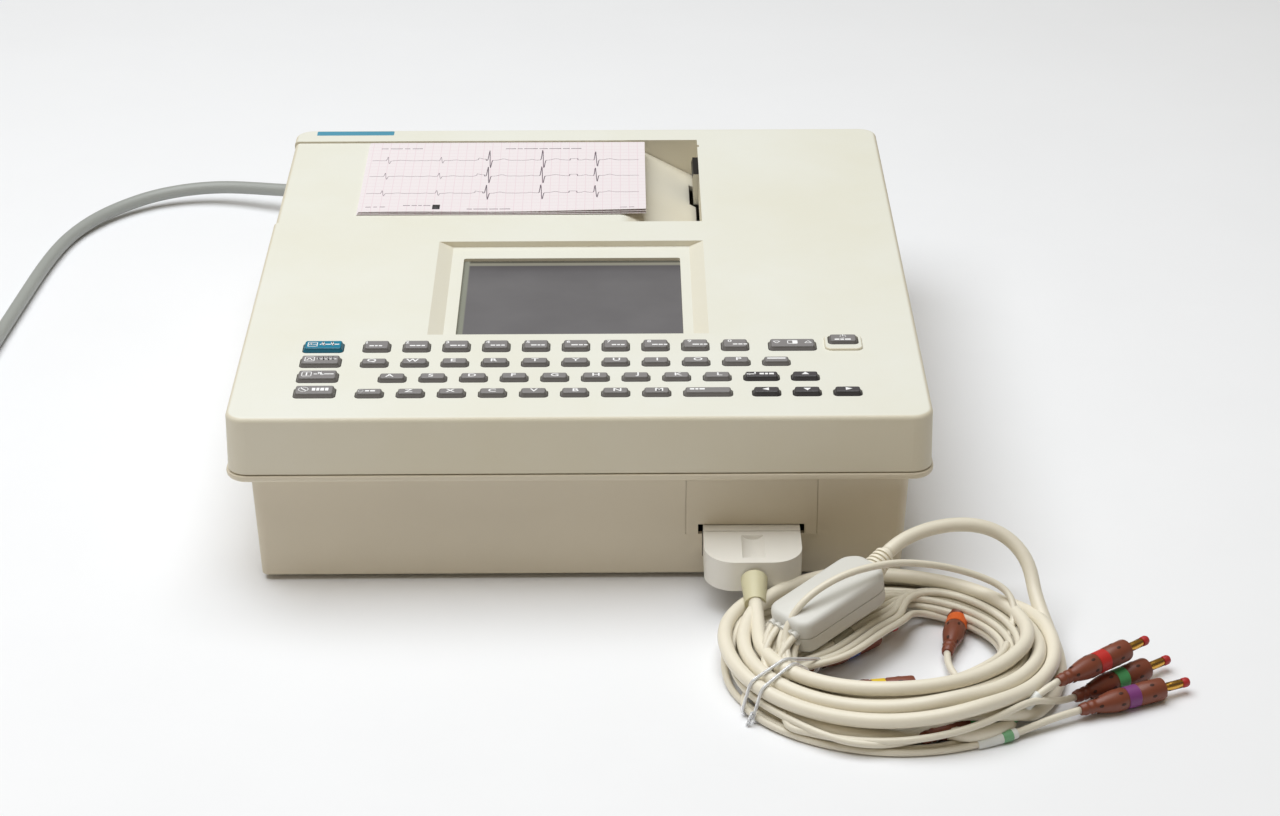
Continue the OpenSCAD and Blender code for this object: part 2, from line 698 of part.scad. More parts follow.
module main_board() {
    color(board_green) {
        span([-40, tub_front + 82, floor_z + 6], [135, tub_front + 190, floor_z + 6 + board_h]);
        for (p = [[-34, 88], [-34, 184], [129, 88], [129, 184]])
            translate([p[0], tub_front + p[1], floor_z]) cylinder(r = 3, h = 6.5);
    }
    color("#1d1d1f") for (p = [[0, 130, 28, 28], [50, 120, 20, 14], [50, 150, 20, 14],
            [10, 165, 30, 10], [105, 150, 12, 30]])
        span([p[0] - p[2] / 2, tub_front + p[1] - p[3] / 2, floor_z + 6 + board_h - 0.1],
            [p[0] + p[2] / 2, tub_front + p[1] + p[3] / 2, floor_z + 6 + board_h + 2.2]);
}

module input_board() {
    z = hood_z - 8;
    color(board_green) difference() {
        span([panel_x - 32, socket_y + 3.2, z - board_h], [panel_x + 32, socket_y + 62, z]);
        for (s = [-1, 1]) translate([panel_x + s * 27, socket_y + 56, z - 5]) cylinder(r = 1.6, h = 10);
    }
    color(board_green) for (s = [-1, 1]) translate([panel_x + s * 27, socket_y + 56, floor_z])
        difference() {
            cylinder(r = 3.2, h = z - board_h - floor_z);
            translate([0, 0, -1]) cylinder(r = 1.6, h = 30);
        }
    color(steel) span([panel_x - 24, socket_y + 16, z - 0.1], [panel_x + 24, socket_y + 50, z + 9]);
}

module power_supply() {
    y1 = chan_y0 - 14;
    color("#b08d4e") span([inlet_x - 40, y1 - 110, floor_z + 5], [inlet_x + 40, y1, floor_z + 5 + board_h]);
    color("#2a2a2c") {
        span([inlet_x - 34, y1 - 60, floor_z + 6.5], [inlet_x - 2, y1 - 20, floor_z + 35]);
        for (k = [0:2]) translate([inlet_x + 12, y1 - 90 + 22 * k, floor_z + 6.5])
            cylinder(r = 8, h = 24);
    }
    color(steel) for (x = [inlet_x - 35, inlet_x + 35], y = [y1 - 105, y1 - 5])
        translate([x, y, floor_z]) cylinder(r = 3, h = 5.2);
}

module battery_pack() {
    color("#35383c") translate([-22, chan_mid - 16, floor_z]) round_block(62, 130, 34, 3);
    color("#b3322b") translate([-40, chan_mid - 72, floor_z + 33.5]) round_block(8, 5, 3, 1);
}

module mains_inlet() {
    color("#1c1c1e") difference() {
        union() {
            span([inlet_x - inlet_w / 2 + 0.2, inlet_y - wall - 12, inlet_z - inlet_h / 2 + 0.2],
                [inlet_x + inlet_w / 2 - 0.2, inlet_y - 0.4, inlet_z + inlet_h / 2 - 0.2]);
            span([inlet_x - inlet_w / 2 - 3, inlet_y - wall - 3, inlet_z - inlet_h / 2 - 3],
                [inlet_x + inlet_w / 2 + 3, inlet_y - wall - 0.1, inlet_z + inlet_h / 2 + 3]);
        }
        translate([inlet_x, inlet_y + 1, inlet_z]) rotate([90, 0, 0])
            linear_extrude(13) round_rect(plug_w + 0.6, plug_h - 0.9, 2.5);
    }
    color(steel) for (p = [[-6, -1.5], [0, 2.5], [6, -1.5]])
        span([inlet_x + p[0] - 1, inlet_y - 13, inlet_z + p[1] - 2],
            [inlet_x + p[0] + 1, inlet_y - 9.9, inlet_z + p[1] + 2]);
}

// ---------- paper ----------

module paper_tray() {
    color("#c9c6bb") difference() {
        span([tray_x0, chan_mid - tray_d / 2, tray_floor],
            [tray_x1, chan_mid + tray_d / 2, tray_floor + tray_wall]);
        span([tray_x0 + tray_t, chan_mid - tray_d / 2 + tray_t, tray_floor + tray_t],
            [tray_x1 - tray_t, chan_mid + tray_d / 2 - tray_t, tray_floor + tray_wall + 1]);
        // finger scoops and the low end where the paper leaves
        span([tray_x1 - tray_t - 1, chan_mid - paper_w / 2, tray_floor + 14],
            [tray_x1 + 1, chan_mid + paper_w / 2, tray_floor + tray_wall + 1]);
        for (s = [-1, 1]) translate([(tray_x0 + tray_x1) / 2, chan_mid, tray_floor + tray_wall])
            rotate([90, 0, 0]) cylinder(r = 14, h = tray_d + 2, center = true);
    }
}

module paper_stack() {
    color("#f3eef0") span([stack_x1 - stack_l, chan_mid - paper_w / 2, tray_floor + tray_t],
        [stack_x1, chan_mid + paper_w / 2, tray_floor + tray_t + stack_h - 8]);
}

module printed_page() {
    color("#f0e2e6") span([page_x0, page_y - paper_w / 2, cover_top + 0.1],
        [page_x1, page_y + paper_w / 2, cover_top + 0.1 + page_t]);
}

function ramp_point(r, a) = [ramp_x0 + r * sin(a), cover_top - bend_r + r * cos(a)];
bend_steps = 6;
ramp_bend = [for (k = [0:bend_steps]) ramp_angle * k / bend_steps];

module paper_cover() {
    outline = concat(
        [[hinge_x, cover_top]], [for (a = ramp_bend) ramp_point(bend_r, a)],
        [[ramp_x1, ramp_z1], [ramp_x1, ramp_z1 - ramp_under]],
        [for (k = [bend_steps:-1:0]) ramp_point(bend_r - cover_t, ramp_bend[k])],
        [[hinge_x, cover_top - cover_t]]);
    y0 = chan_y0 + side_gap;
    len = channel_w - 2 * side_gap;
    color(ivory) {
        difference() {
            translate([0, y0 + len, 0]) rotate([90, 0, 0]) linear_extrude(len) {
                polygon(outline);
                translate([hinge_x, hinge_z]) circle(knuckle_r);
            }
            span([latch_notch, latch_y0 - 1.5, ramp_z1 - 10],
                [ramp_x1 + 1, latch_y0 + latch_len + 1.5, top_z]);
        }
        rod_y(hinge_x, chan_y0 - pin_len, hinge_z, pin_r, pin_len + side_gap + 1);
        rod_y(hinge_x, chan_y1 - side_gap - 1, hinge_z, pin_r, pin_len + side_gap + 1);
        // stiffening ribs under the flat part
        for (k = [0:4]) span([hinge_x + 14, y0 + 6 + k * (len - 13.5) / 4, cover_top - cover_t - 3],
            [ramp_x0 - 4, y0 + 7.5 + k * (len - 13.5) / 4, cover_top - cover_t + 0.2]);
    }
}

// Latch: a finger blade in the channel's wall, a bar behind it and a nose beside the ramp
module cover_latch() {
    bar_z0 = ramp_z1 + 1.2;
    bar_h = 2.4;
    color("#1b1b1d") {
        translate([0, latch_y0 + latch_len, 0]) rotate([90, 0, 0]) linear_extrude(latch_len)
            polygon([[latch_x + 1, bar_z0], [latch_x + latch_t + 3.6, bar_z0],
                [latch_x + latch_t + 0.6, latch_top], [latch_x + 0.8, latch_top],
                [latch_x, latch_top - 3]]);
        span([chan_right + 0.8, latch_y0 + 1, bar_z0],
            [chan_right + 3.4, frame_y1 - 0.8, bar_z0 + bar_h]);
        span([nose_x, frame_y1 - 4, bar_z0], [chan_right + 2, frame_y1 - 0.8, bar_z0 + bar_h]);
    }
}

module latch_spring() {
    turns = 5;
    steps = 10;
    r = 2;
    wire = 0.6;
    x0 = spring_rib_x - 0.35;
    y = latch_y0 + latch_len / 2;
    color(steel) swept_tube([for (k = [0:turns * steps])
        [x0 - spring_len * k / (turns * steps), y + r * cos(360 * k / steps),
         spring_z + r * sin(360 * k / steps)]], wire, 6);
}

// ---------- writer ----------

module writer_frame() {
    x0 = platen_x - 7;
    x1 = motor_x + 6;
    top = head_z + 12;
    color("#9fa3a6") difference() {
        union() {
            for (y = [frame_y0, frame_y1])
                span([x0, y, frame_foot_z], [x1, y + frame_t, top]);
            span([x0, frame_y0, frame_foot_z], [x1, frame_y1 + frame_t, frame_foot_z + frame_t]);
            span([head_x - 3, frame_y0, top - 2], [head_x + 12, frame_y1 + frame_t, top]);
            for (x = [x0 + 8, x1 - 8], y = [frame_y0 + 14, frame_y1 - 14])
                translate([x, y, floor_z]) cylinder(r = 3.5, h = frame_foot_z - floor_z + 0.5);
            rod_y(idler_x, frame_y1 + 0.5, idler_z, stud_r, frame_t + gear_w + 1.5);
        }
        rod_y(platen_x, frame_y0 - 1, platen_z, platen_shaft_r + shaft_gap,
            frame_y1 - frame_y0 + 20);
        rod_y(motor_x, frame_y1 - 1, motor_z, motor_shaft_r + 1.2, frame_t + 2);
    }
}

module platen_shaft() {
    color(steel) rod_y(platen_x, frame_y0 - 2, platen_z, platen_shaft_r,
        gear_y + gear_w + 0.6 - frame_y0 + 2);
}

module platen_roller() {
    color("#2b2b2d") translate([platen_x, chan_mid - platen_len / 2, platen_z])
        rotate([-90, 0, 0]) difference() {
            cylinder(r = platen_r, h = platen_len);
            translate([0, 0, -1]) cylinder(r = platen_shaft_r, h = platen_len + 2);
        }
}

// Gears stand in mesh at rest: a tooth of one in a gap of the next
axis_angle = atan2(platen_z - idler_z, platen_x - idler_x);
module platen_gear() {
    color("#e6e2d4") translate([platen_x, gear_y, platen_z])
        gear(platen_teeth, platen_shaft_r, -(axis_angle + 180) + 180 / platen_teeth);
}
module idler_gear() {
    color("#e6e2d4") translate([idler_x, gear_y, idler_z])
        gear(idler_teeth, stud_r + shaft_gap, -axis_angle);
}
pinion_angle = atan2(motor_z - idler_z, motor_x - idler_x);
// turn of the idler where the pinion meets it, carried over to the pinion
pinion_mesh = (pinion_angle - axis_angle) * idler_teeth / pinion_teeth;
module motor_pinion() {
    color("#c8a860") translate([motor_x, gear_y, motor_z])
        gear(pinion_teeth, motor_shaft_r, -(pinion_angle + 180) + 180 / pinion_teeth
            - pinion_mesh);
}

module drive_motor() {
    y1 = frame_y1 - 0.2;
    color("#3a3c40") {
        rod_y(motor_x, y1 - motor_len, motor_z, motor_r, motor_len);
    }
    color(steel) rod_y(motor_x, y1 - 1, motor_z, motor_shaft_r, gear_y + gear_w + 1 - y1 + 1);
}

module print_head() {
    color("#d9d3c2") span([head_x - head_w / 2, chan_mid - paper_w / 2, head_z],
        [head_x + head_w / 2, chan_mid + paper_w / 2, head_z + 1.2]);
    color("#a9adb1") {
        span([head_x - head_w / 2, chan_mid - paper_w / 2, head_z + 1.1],
            [head_x + head_w / 2 + 6, chan_mid + paper_w / 2, head_z + 3.2]);
        for (k = [0:3]) span([head_x - 3.4 + 4 * k, chan_mid - paper_w / 2 + 4, head_z + 3],
            [head_x - 2 + 4 * k, chan_mid + paper_w / 2 - 4, head_z + 5.6]);
    }
}

module head_springs() {
    h0 = head_z + 5.9;
    h1 = head_z + 9.8;
    color(steel) for (y = [chan_mid - 32, chan_mid + 32])
        translate([head_x + 4.5, y, h0]) difference() {
            cylinder(r = 3, h = h1 - h0);
            translate([0, 0, -1]) cylinder(r = 2.3, h = 10);
        }
}

// ---------- patient cable ----------

module cable_hood() {
    color("#d7d3cd") {
        difference() {
            translate([0, 0, hood_z - hood_h / 2]) linear_extrude(hood_h) difference() {
                union() {
                    translate([panel_x - hood_w / 2, hood_front + hood_r])
                        square([hood_w, hood_back - hood_front - hood_r]);
                    translate([panel_x - hood_w / 2 + hood_r, hood_front])
                        square([hood_w - 2 * hood_r, hood_r + 1]);
                    for (s = [-1, 1]) translate([panel_x + s * (hood_w / 2 - hood_r),
                        hood_front + hood_r]) circle(hood_r);
                }
            }
            // finger hollow and arrow on the top
            translate([panel_x, hood_front + 16, hood_z + hood_h / 2 + 5]) rotate([90, 0, 0])
                cylinder(r = 7.5, h = 22, center = true);
            span([panel_x - hood_w, tub_front - 6, hood_z + hood_h / 2 - 0.8],
                [panel_x + hood_w, tub_front - 5.2, hood_z + hood_h / 2 + 1]);
        }
    }
}

module cable_boot() {
    color(cable_cream) translate([panel_x, hood_front, hood_z - 1.5]) rotate([104, 0, 0])
        difference() {
            cylinder(r1 = 6.6, r2 = 5.2, h = 17);
            translate([0, 0, -1]) cylinder(r = trunk_d / 2 - 0.4, h = 30);
            translate([0, 0, -8.4]) rotate([-14, 0, 0]) cube([20, 20, 16.8], center = true);
        }
}

module trunk_cable() {
    color(cable_cream) {
        swept_tube(trunk_in, trunk_d);
        swept_tube(arch, trunk_d);
    }
}

// Outline of the coil: round ends a little apart
module coil_outline(r) {
    for (s = [-1, 1]) translate([s * coil_stretch, 0]) circle(r);
    square([2 * coil_stretch, 2 * r], center = true);
}

module cable_coil() {
    color(cable_cream) translate([coil_x, coil_y, 0]) {
        difference() {
            linear_extrude(coil_low_h) difference() {
                coil_outline(coil_out);
                coil_outline(coil_in);
            }
            // three lead plugs lie under the front turns, and one under the rear turns
            translate([34, -57, -1]) rotate(28) translate([-40, -24, 0]) cube([73, 55, coil_low_h]);
            translate([27.5, 3.5, -1]) rotate(75) translate([14, -6.5, 0])
                cube([49, 13, coil_low_h]);
        }
        rotate(215) rotate_extrude(angle = 152) translate([coil_in + 4, coil_low_h - 1.2])
            square([coil_out - coil_in - 6, coil_high_h - coil_low_h + 1.2]);
    }
}

module coil_tie() {
    color("#d9dde2") translate([coil_x - coil_stretch, coil_y, 0]) rotate(216)
        translate([(coil_in + coil_out) / 2, 2, 0]) rotate([90, 0, 0]) linear_extrude(4) difference() {
            w = coil_out - coil_in + 2;
            translate([-w / 2 - 1.4, 0]) square([w + 2.8, coil_low_h + 1.8]);
            translate([-w / 2, -1]) square([w, coil_low_h + 1.4]);
        }
}

module lead_module() {
    color("#cdcbc6") translate(module_at) rotate([0, 0, module_turn]) rotate([0, -module_rise, 0]) {
        translate([0, 0, -module_t / 2]) linear_extrude(module_t)
            polygon([[-30, -9], [-26, -13.5], [22, -13.5], [28, -7.5], [28, 7.5], [22, 13.5],
                [-26, 13.5], [-30, 9]]);
        translate([27, 0, 2]) rotate([0, 0, 12]) rotate([0, 82, 0]) cylinder(r1 = 6.2, r2 = 4.8, h = 14);
    }
}

module lead_wires() {
    color(cable_cream) for (r = lead_routes) swept_tube(r, lead_d);
}

// x, y, z of a plug's cable end, then its heading and its rise in degrees
plug_places = [
    [232, -310, 5.6, 24, 0], [222, -304, 17.5, 38, 0], [231, -299, 5.6, 34, 0],
    [175.5, -259.5, 5.6, 75, 0], [100.5, -261.5, 5.6, 40, 0], [108, -271.5, 5.6, 40, 0],
    [113, -296, 5.6, 9, 0], [145.4, -312.3, 5.6, 28, 0], [151, -322.8, 5.6, 28, 0],
    [156.5, -333.2, 5.6, 28, 0]];
plug_body = 45;
plug_r = 5.4;
module at_plug(p) {
    translate([p[0], p[1], p[2]]) rotate([0, 0, p[3]]) rotate([0, -p[4], 0]) rotate([0, 90, 0])
        children();
}

module lead_plugs() {
    color("#8c4e37") for (p = plug_places) at_plug(p) rotate_extrude()
        polygon([[0, 0], [2.6, 0], [3.4, 3], [plug_r, 18], [plug_r, plug_body - 1],
            [plug_r - 0.8, plug_body], [0, plug_body]]);
}

module lead_pins() {
    color("#d0a24a") for (p = plug_places) at_plug(p) translate([0, 0, plug_body]) rotate_extrude()
        polygon([[0, 0], [2.2, 0], [2.2, 1], [1.7, 1.5], [2.1, 6], [1.7, 11], [2.1, 11.3],
            [2.1, 13.6], [1.2, 14.5], [0, 14.5]]);
}

// ---------- mains cable ----------

module mains_connector() {
    color("#8f9290") {
        translate([inlet_x, plug_y1, inlet_z]) rotate([90, 0, 0]) difference() {
            linear_extrude(plug_y1 - (inlet_y - 8)) round_rect(plug_w, plug_h - 1.5, 2.2);
            for (p = [[-6, -1.5], [0, 2.5], [6, -1.5]])
                translate([p[0] - 1.4, p[1] - 2.4, plug_y1 - inlet_y + 1]) cube([2.8, 4.8, 20]);
        }
        translate([inlet_x, plug_y1 - 0.1, inlet_z]) rotate([-90, 0, 0]) difference() {
            cylinder(r1 = 7, r2 = mains_d / 2 + 1.2, h = boot_y1 - plug_y1);
            for (k = [0:3]) translate([0, 0, 6 + 5 * k]) difference() {
                cylinder(r = 9, h = 1.6);
                translate([0, 0, -1]) cylinder(r = mains_d / 2 + 0.6, h = 4);
            }
        }
    }
}

module mains_cable() {
    color("#a5a8a5") {
        swept_tube(mains_route, mains_d);
        swept_tube(mains_tail, mains_d);
    }
}

module mains_coil() {
    color("#a5a8a5") translate([mains_coil_x, mains_coil_y, 0]) rotate_extrude() {
        w = mains_coil_out - mains_coil_in;
        translate([mains_coil_in + w / 2, mains_coil_h / 2]) round_rect(w, mains_coil_h, 4);
    }
}

module mains_plug() {
    color("#8f9290") translate([-452, 55, 13]) rotate([-90, 0, 0]) {
        cylinder(r1 = 5.5, r2 = 7.5, h = 18);
        translate([0, 0, 17.9]) round_block(34, 25, 22, 6);
    }
    color(steel) translate([-452, 95, 13]) {
        for (s = [-1, 1]) span([s * 6.35 - 0.75, -1, 0], [s * 6.35 + 0.75, 16, 6.3]);
        translate([0, -1, -7]) rotate([-90, 0, 0]) cylinder(r = 2.4, h = 19);
    }
}

lower_shell();
upper_shell();
rubber_feet();
case_screws();
connector_panel();
patient_socket();
display_window();
display_module();
key_mat();
keyboard_board();
main_board();
input_board();
power_supply();
battery_pack();
mains_inlet();
paper_tray();
paper_stack();
printed_page();
writer_frame();
print_head();
head_springs();
drive_motor();
motor_pinion();
idler_gear();
platen_roller();
platen_shaft();
platen_gear();
paper_cover();
cover_latch();
latch_spring();
ecg_key();
rhythm_key();
manual_key();
stop_key();
standby_key();
contrast_key();
enter_key();
bar_key();
space_key();
up_key();
down_key();
left_key();
right_key();
digit_keys();
upper_row_keys();
home_row_keys();
lower_row_keys();
cable_hood();
cable_boot();
trunk_cable();
cable_coil();
coil_tie();
lead_module();
lead_wires();
lead_plugs();
lead_pins();
mains_cable();
mains_coil();
mains_plug();
mains_connector();
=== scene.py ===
import json
import math
from collections import namedtuple

import bpy
import numpy as np
from bpy.props import FloatProperty, FloatVectorProperty, IntProperty, PointerProperty
from mathutils import Matrix, Vector
from mathutils.geometry import convex_hull_2d


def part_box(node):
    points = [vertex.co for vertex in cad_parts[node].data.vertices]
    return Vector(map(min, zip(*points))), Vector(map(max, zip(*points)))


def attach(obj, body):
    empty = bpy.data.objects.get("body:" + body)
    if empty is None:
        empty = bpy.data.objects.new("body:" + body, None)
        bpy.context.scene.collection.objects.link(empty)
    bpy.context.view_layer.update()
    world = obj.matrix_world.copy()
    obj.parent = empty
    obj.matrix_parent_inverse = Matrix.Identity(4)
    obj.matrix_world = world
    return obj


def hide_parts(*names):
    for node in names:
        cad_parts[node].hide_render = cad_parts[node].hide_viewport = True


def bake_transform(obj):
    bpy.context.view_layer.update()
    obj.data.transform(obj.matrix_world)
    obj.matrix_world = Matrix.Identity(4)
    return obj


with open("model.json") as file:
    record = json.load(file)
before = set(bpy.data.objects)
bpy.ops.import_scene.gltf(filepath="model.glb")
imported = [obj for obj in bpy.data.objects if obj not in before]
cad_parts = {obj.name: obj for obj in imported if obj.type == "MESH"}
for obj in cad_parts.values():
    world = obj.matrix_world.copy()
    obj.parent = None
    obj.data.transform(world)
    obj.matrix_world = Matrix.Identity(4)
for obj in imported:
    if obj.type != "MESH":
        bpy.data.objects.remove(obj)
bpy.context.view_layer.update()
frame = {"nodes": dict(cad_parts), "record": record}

bl_info = {
    "name": "Desktop electrocardiograph",
    "version": (1, 0, 0),
    "blender": (4, 5, 0),
    "location": "View3D > Sidebar > Recorder",
    "description": "Finishes, cables, key legends and chart of a desktop electrocardiograph",
    "category": "Add Mesh",
}

NODES = frame["nodes"]
BODY_OF_NODE = {node: body for body, nodes in frame["record"]["behaviour"]["bodies"].items()
                for node in nodes}
MM = 0.001


# ---------- colours ----------

def linear(red, green, blue):
    """sRGB bytes to linear values."""
    return tuple(((c / 255) / 12.92 if c <= 10 else ((c / 255 + 0.055) / 1.055) ** 2.4)
                 for c in (red, green, blue))


class RecorderColours(bpy.types.PropertyGroup):
    """Colours of the recorder's plastics and cables"""
    case: FloatVectorProperty(name="Case", description="Upper shell and paper cover", subtype="COLOR",
                              size=3, min=0, max=1, default=linear(226, 226, 218))
    tub: FloatVectorProperty(name="Lower shell", description="Lower shell", subtype="COLOR",
                             size=3, min=0, max=1, default=linear(218, 208, 188))
    keys: FloatVectorProperty(name="Keys", description="Letter, digit and function keys", subtype="COLOR",
                              size=3, min=0, max=1, default=linear(134, 131, 132))
    dark_keys: FloatVectorProperty(name="Dark keys", description="Arrow and enter keys", subtype="COLOR",
                                   size=3, min=0, max=1, default=linear(72, 69, 73))
    record_key: FloatVectorProperty(name="Record key", description="Key that starts a recording",
                                    subtype="COLOR", size=3, min=0, max=1, default=linear(6, 122, 152))
    cable: FloatVectorProperty(name="Patient cable", description="Trunk and lead wires", subtype="COLOR",
                               size=3, min=0, max=1, default=linear(236, 229, 212))
    mains: FloatVectorProperty(name="Mains cable", description="Mains cable", subtype="COLOR",
                               size=3, min=0, max=1, default=linear(160, 163, 160))
    plugs: FloatVectorProperty(name="Lead plugs", description="Bodies of the lead plugs", subtype="COLOR",
                               size=3, min=0, max=1, default=linear(126, 66, 46))
    paper: FloatVectorProperty(name="Chart paper", description="Chart paper", subtype="COLOR",
                               size=3, min=0, max=1, default=linear(229, 222, 225))
    grid: FloatVectorProperty(name="Chart grid", description="Lines of the chart grid", subtype="COLOR",
                              size=3, min=0, max=1, default=linear(214, 176, 190))
    floor: FloatVectorProperty(name="Floor", description="Studio floor", subtype="COLOR",
                               size=3, min=0, max=1, default=linear(238, 239, 243))


class CableSizes(bpy.types.PropertyGroup):
    """Sizes of the cables"""
    trunk: FloatProperty(name="Trunk diameter", description="Diameter of the patient trunk cable",
                         default=0.007, min=0.004, max=0.01, unit="LENGTH")
    lead: FloatProperty(name="Lead diameter", description="Diameter of one lead wire",
                        default=0.0035, min=0.002, max=0.005, unit="LENGTH")
    mains: FloatProperty(name="Mains diameter", description="Diameter of the mains cable",
                         default=0.008, min=0.005, max=0.01, unit="LENGTH")
    sides: IntProperty(name="Sides", description="Sides of a cable's tube", default=14, min=8, max=32)
    ribs: IntProperty(name="Boot ribs", description="Ribs of a strain relief", default=5, min=2, max=12)


class StudioSettings(bpy.types.PropertyGroup):
    """Lamps and camera"""
    lamp: FloatProperty(name="Overhead lamp", description="Power of the overhead lamp in watts",
                        default=48.0, min=0.0)
    fill: FloatProperty(name="Fill lamp", description="Power of the front lamp in watts",
                        default=2.5, min=0.0)
    sky: FloatProperty(name="Sky", description="Strength of the even light from all round",
                       default=0.2, min=0.0, max=2.0)
    lens: FloatProperty(name="Lens", description="Focal length in millimetres", default=83.59, min=20,
                        subtype="DISTANCE_CAMERA")


# ---------- mesh helpers ----------

def make_object(name, vertices, faces, material=None, smooth=True):
    """A mesh object at the origin with its place in its vertices."""
    mesh = bpy.data.meshes.new(name)
    mesh.from_pydata([tuple(v) for v in vertices], [], [tuple(f) for f in faces])
    return finish_object(name, mesh, material, smooth)


def finish_object(name, mesh, material=None, smooth=True):
    mesh.validate()
    if smooth:
        mesh.shade_smooth()
    obj = bpy.data.objects.new(name, mesh)
    bpy.context.scene.collection.objects.link(obj)
    if material:
        mesh.materials.append(material)
    return obj


def join_parts(name, parts, material=None, smooth=True):
    """One mesh from several (vertices, faces) pairs."""
    vertices, faces = [], []
    for part_vertices, part_faces in parts:
        start = len(vertices)
        vertices.extend(part_vertices)
        faces.extend([tuple(i + start for i in f) for f in part_faces])
    return make_object(name, vertices, faces, material, smooth)


def assemble(name, chunks, sharp=None):
    """One mesh from (vertices, faces, material) chunks; sharp is the angle past which an edge stays hard."""
    materials = []
    obj = join_parts(name, [chunk[:2] for chunk in chunks])
    slots = []
    for vertices, faces, material in chunks:
        if material not in materials:
            materials.append(material)
        slots.extend([materials.index(material)] * len(faces))
    for material in materials:
        obj.data.materials.append(material)
    obj.data.polygons.foreach_set("material_index", slots)
    if sharp:
        sharpen(obj, sharp)
    return obj


def rotated(degrees, axis):
    return Matrix.Rotation(math.radians(degrees), 4, axis)


def moved(x, y, z):
    """A move in millimetres."""
    return Matrix.Translation((x * MM, y * MM, z * MM))


def scaled(pairs):
    """Pairs of millimetres in metres."""
    return [(a * MM, b * MM) for a, b in pairs]


def placed(mesh_parts, place):
    """Vertices and faces moved by a matrix."""
    vertices, faces = mesh_parts
    return [place @ Vector(v) for v in vertices], faces


def rounded(outline, radius, steps=4):
    """An outline in the plane with its corners rounded."""
    points = []
    count = len(outline)
    for i, corner in enumerate(outline):
        corner = Vector(corner)
        before, after = Vector(outline[i - 1]) - corner, Vector(outline[(i + 1) % count]) - corner
        cut = min(radius, before.length * 0.45, after.length * 0.45)
        start, end = corner + before.normalized() * cut, corner + after.normalized() * cut
        for k in range(steps + 1):
            t = k / steps
            points.append(start * (1 - t) ** 2 + corner * 2 * t * (1 - t) + end * t * t)
    return points


def inset(points, depth):
    """An outline drawn in by a depth; the outline runs anticlockwise."""
    count = len(points)
    out = []
    for i, point in enumerate(points):
        along = (points[(i + 1) % count] - points[i - 1]).normalized()
        out.append(point + Vector((-along.y, along.x)) * depth)
    return out


def loft(points, levels):
    """A closed solid through copies of one outline; levels are (height, inset) pairs."""
    count = len(points)
    vertices, faces = [], []
    for height, depth in levels:
        vertices.extend([Vector((q.x, q.y, height)) for q in inset(points, depth)])
    for level in range(len(levels) - 1):
        for i in range(count):
            n = (i + 1) % count
            a, b = level * count, (level + 1) * count
            faces.append((a + i, a + n, b + n, b + i))
    faces.append(tuple(range(count))[::-1])
    top = (len(levels) - 1) * count
    faces.append(tuple(range(top, top + count)))
    return vertices, faces


def rectangle(x0, y0, x1, y1):
    return [Vector((x0, y0)), Vector((x1, y0)), Vector((x1, y1)), Vector((x0, y1))]


def ribbon(points, width):
    """Flat quads along a line in the plane, each a closed outline."""
    quads = []
    for a, b in zip(points, points[1:]):
        a, b = Vector(a), Vector(b)
        along = (b - a).normalized() * width * 0.3
        side = Vector((-along.y, along.x)).normalized() * width / 2
        quads.append([a - along - side, b + along - side, b + along + side, a - along + side])
    return quads


def plates(outlines, low, high, place=None):
    """Thin flat solids, one for each convex outline, from one height to another."""
    vertices, faces = [], []
    for outline in outlines:
        start = len(vertices)
        more, more_faces = loft([Vector(q) for q in outline], [(low, 0), (high, 0)])
        vertices.extend(more)
        faces.extend([tuple(i + start for i in f) for f in more_faces])
    if place:
        vertices = [place @ v for v in vertices]
    return vertices, faces


# ---------- geometry node helpers ----------

def node_tree(name, sizes):
    """A tree with a mesh output, a material input and named size inputs."""
    tree = bpy.data.node_groups.new(name, "GeometryNodeTree")
    tree.interface.new_socket("Geometry", in_out="OUTPUT", socket_type="NodeSocketGeometry")
    tree.interface.new_socket("Material", in_out="INPUT", socket_type="NodeSocketMaterial")
    for label, (kind, value) in sizes.items():
        socket = tree.interface.new_socket(label, in_out="INPUT", socket_type="NodeSocket" + kind)
        socket.default_value = value
    given = tree.nodes.new("NodeGroupInput")
    realize = tree.nodes.new("GeometryNodeRealizeInstances")
    paint = tree.nodes.new("GeometryNodeSetMaterial")
    out = tree.nodes.new("NodeGroupOutput")
    tree.links.new(realize.outputs[0], paint.inputs["Geometry"])
    tree.links.new(given.outputs["Material"], paint.inputs["Material"])
    tree.links.new(paint.outputs[0], out.inputs[0])
    return tree, given, realize


def tree_node(tree, kind, links=(), **settings):
    """A node with its settings, linked from (socket name, output) pairs."""
    node = tree.nodes.new(kind)
    for key, value in settings.items():
        setattr(node, key, value)
    for key, source in links:
        tree.links.new(source, node.inputs[key])
    return node


def grown(tree, material, **sizes):
    """Vertices and faces that a tree makes with these sizes."""
    holder = make_object("seed", [], [])
    modifier = holder.modifiers.new("grow", "NODES")
    modifier.node_group = tree
    wanted = {"Material": material, **{k.replace("_", " "): v for k, v in sizes.items()}}
    for item in tree.interface.items_tree:
        if item.item_type == "SOCKET" and item.in_out == "INPUT" and item.name in wanted:
            modifier[item.identifier] = wanted[item.name]
    bpy.context.view_layer.update()
    evaluated = holder.evaluated_get(bpy.context.evaluated_depsgraph_get())
    mesh = bpy.data.meshes.new_from_object(evaluated)
    holder.modifiers.clear()
    bpy.data.objects.remove(holder)
    return [v.co.copy() for v in mesh.vertices], [tuple(f.vertices) for f in mesh.polygons]


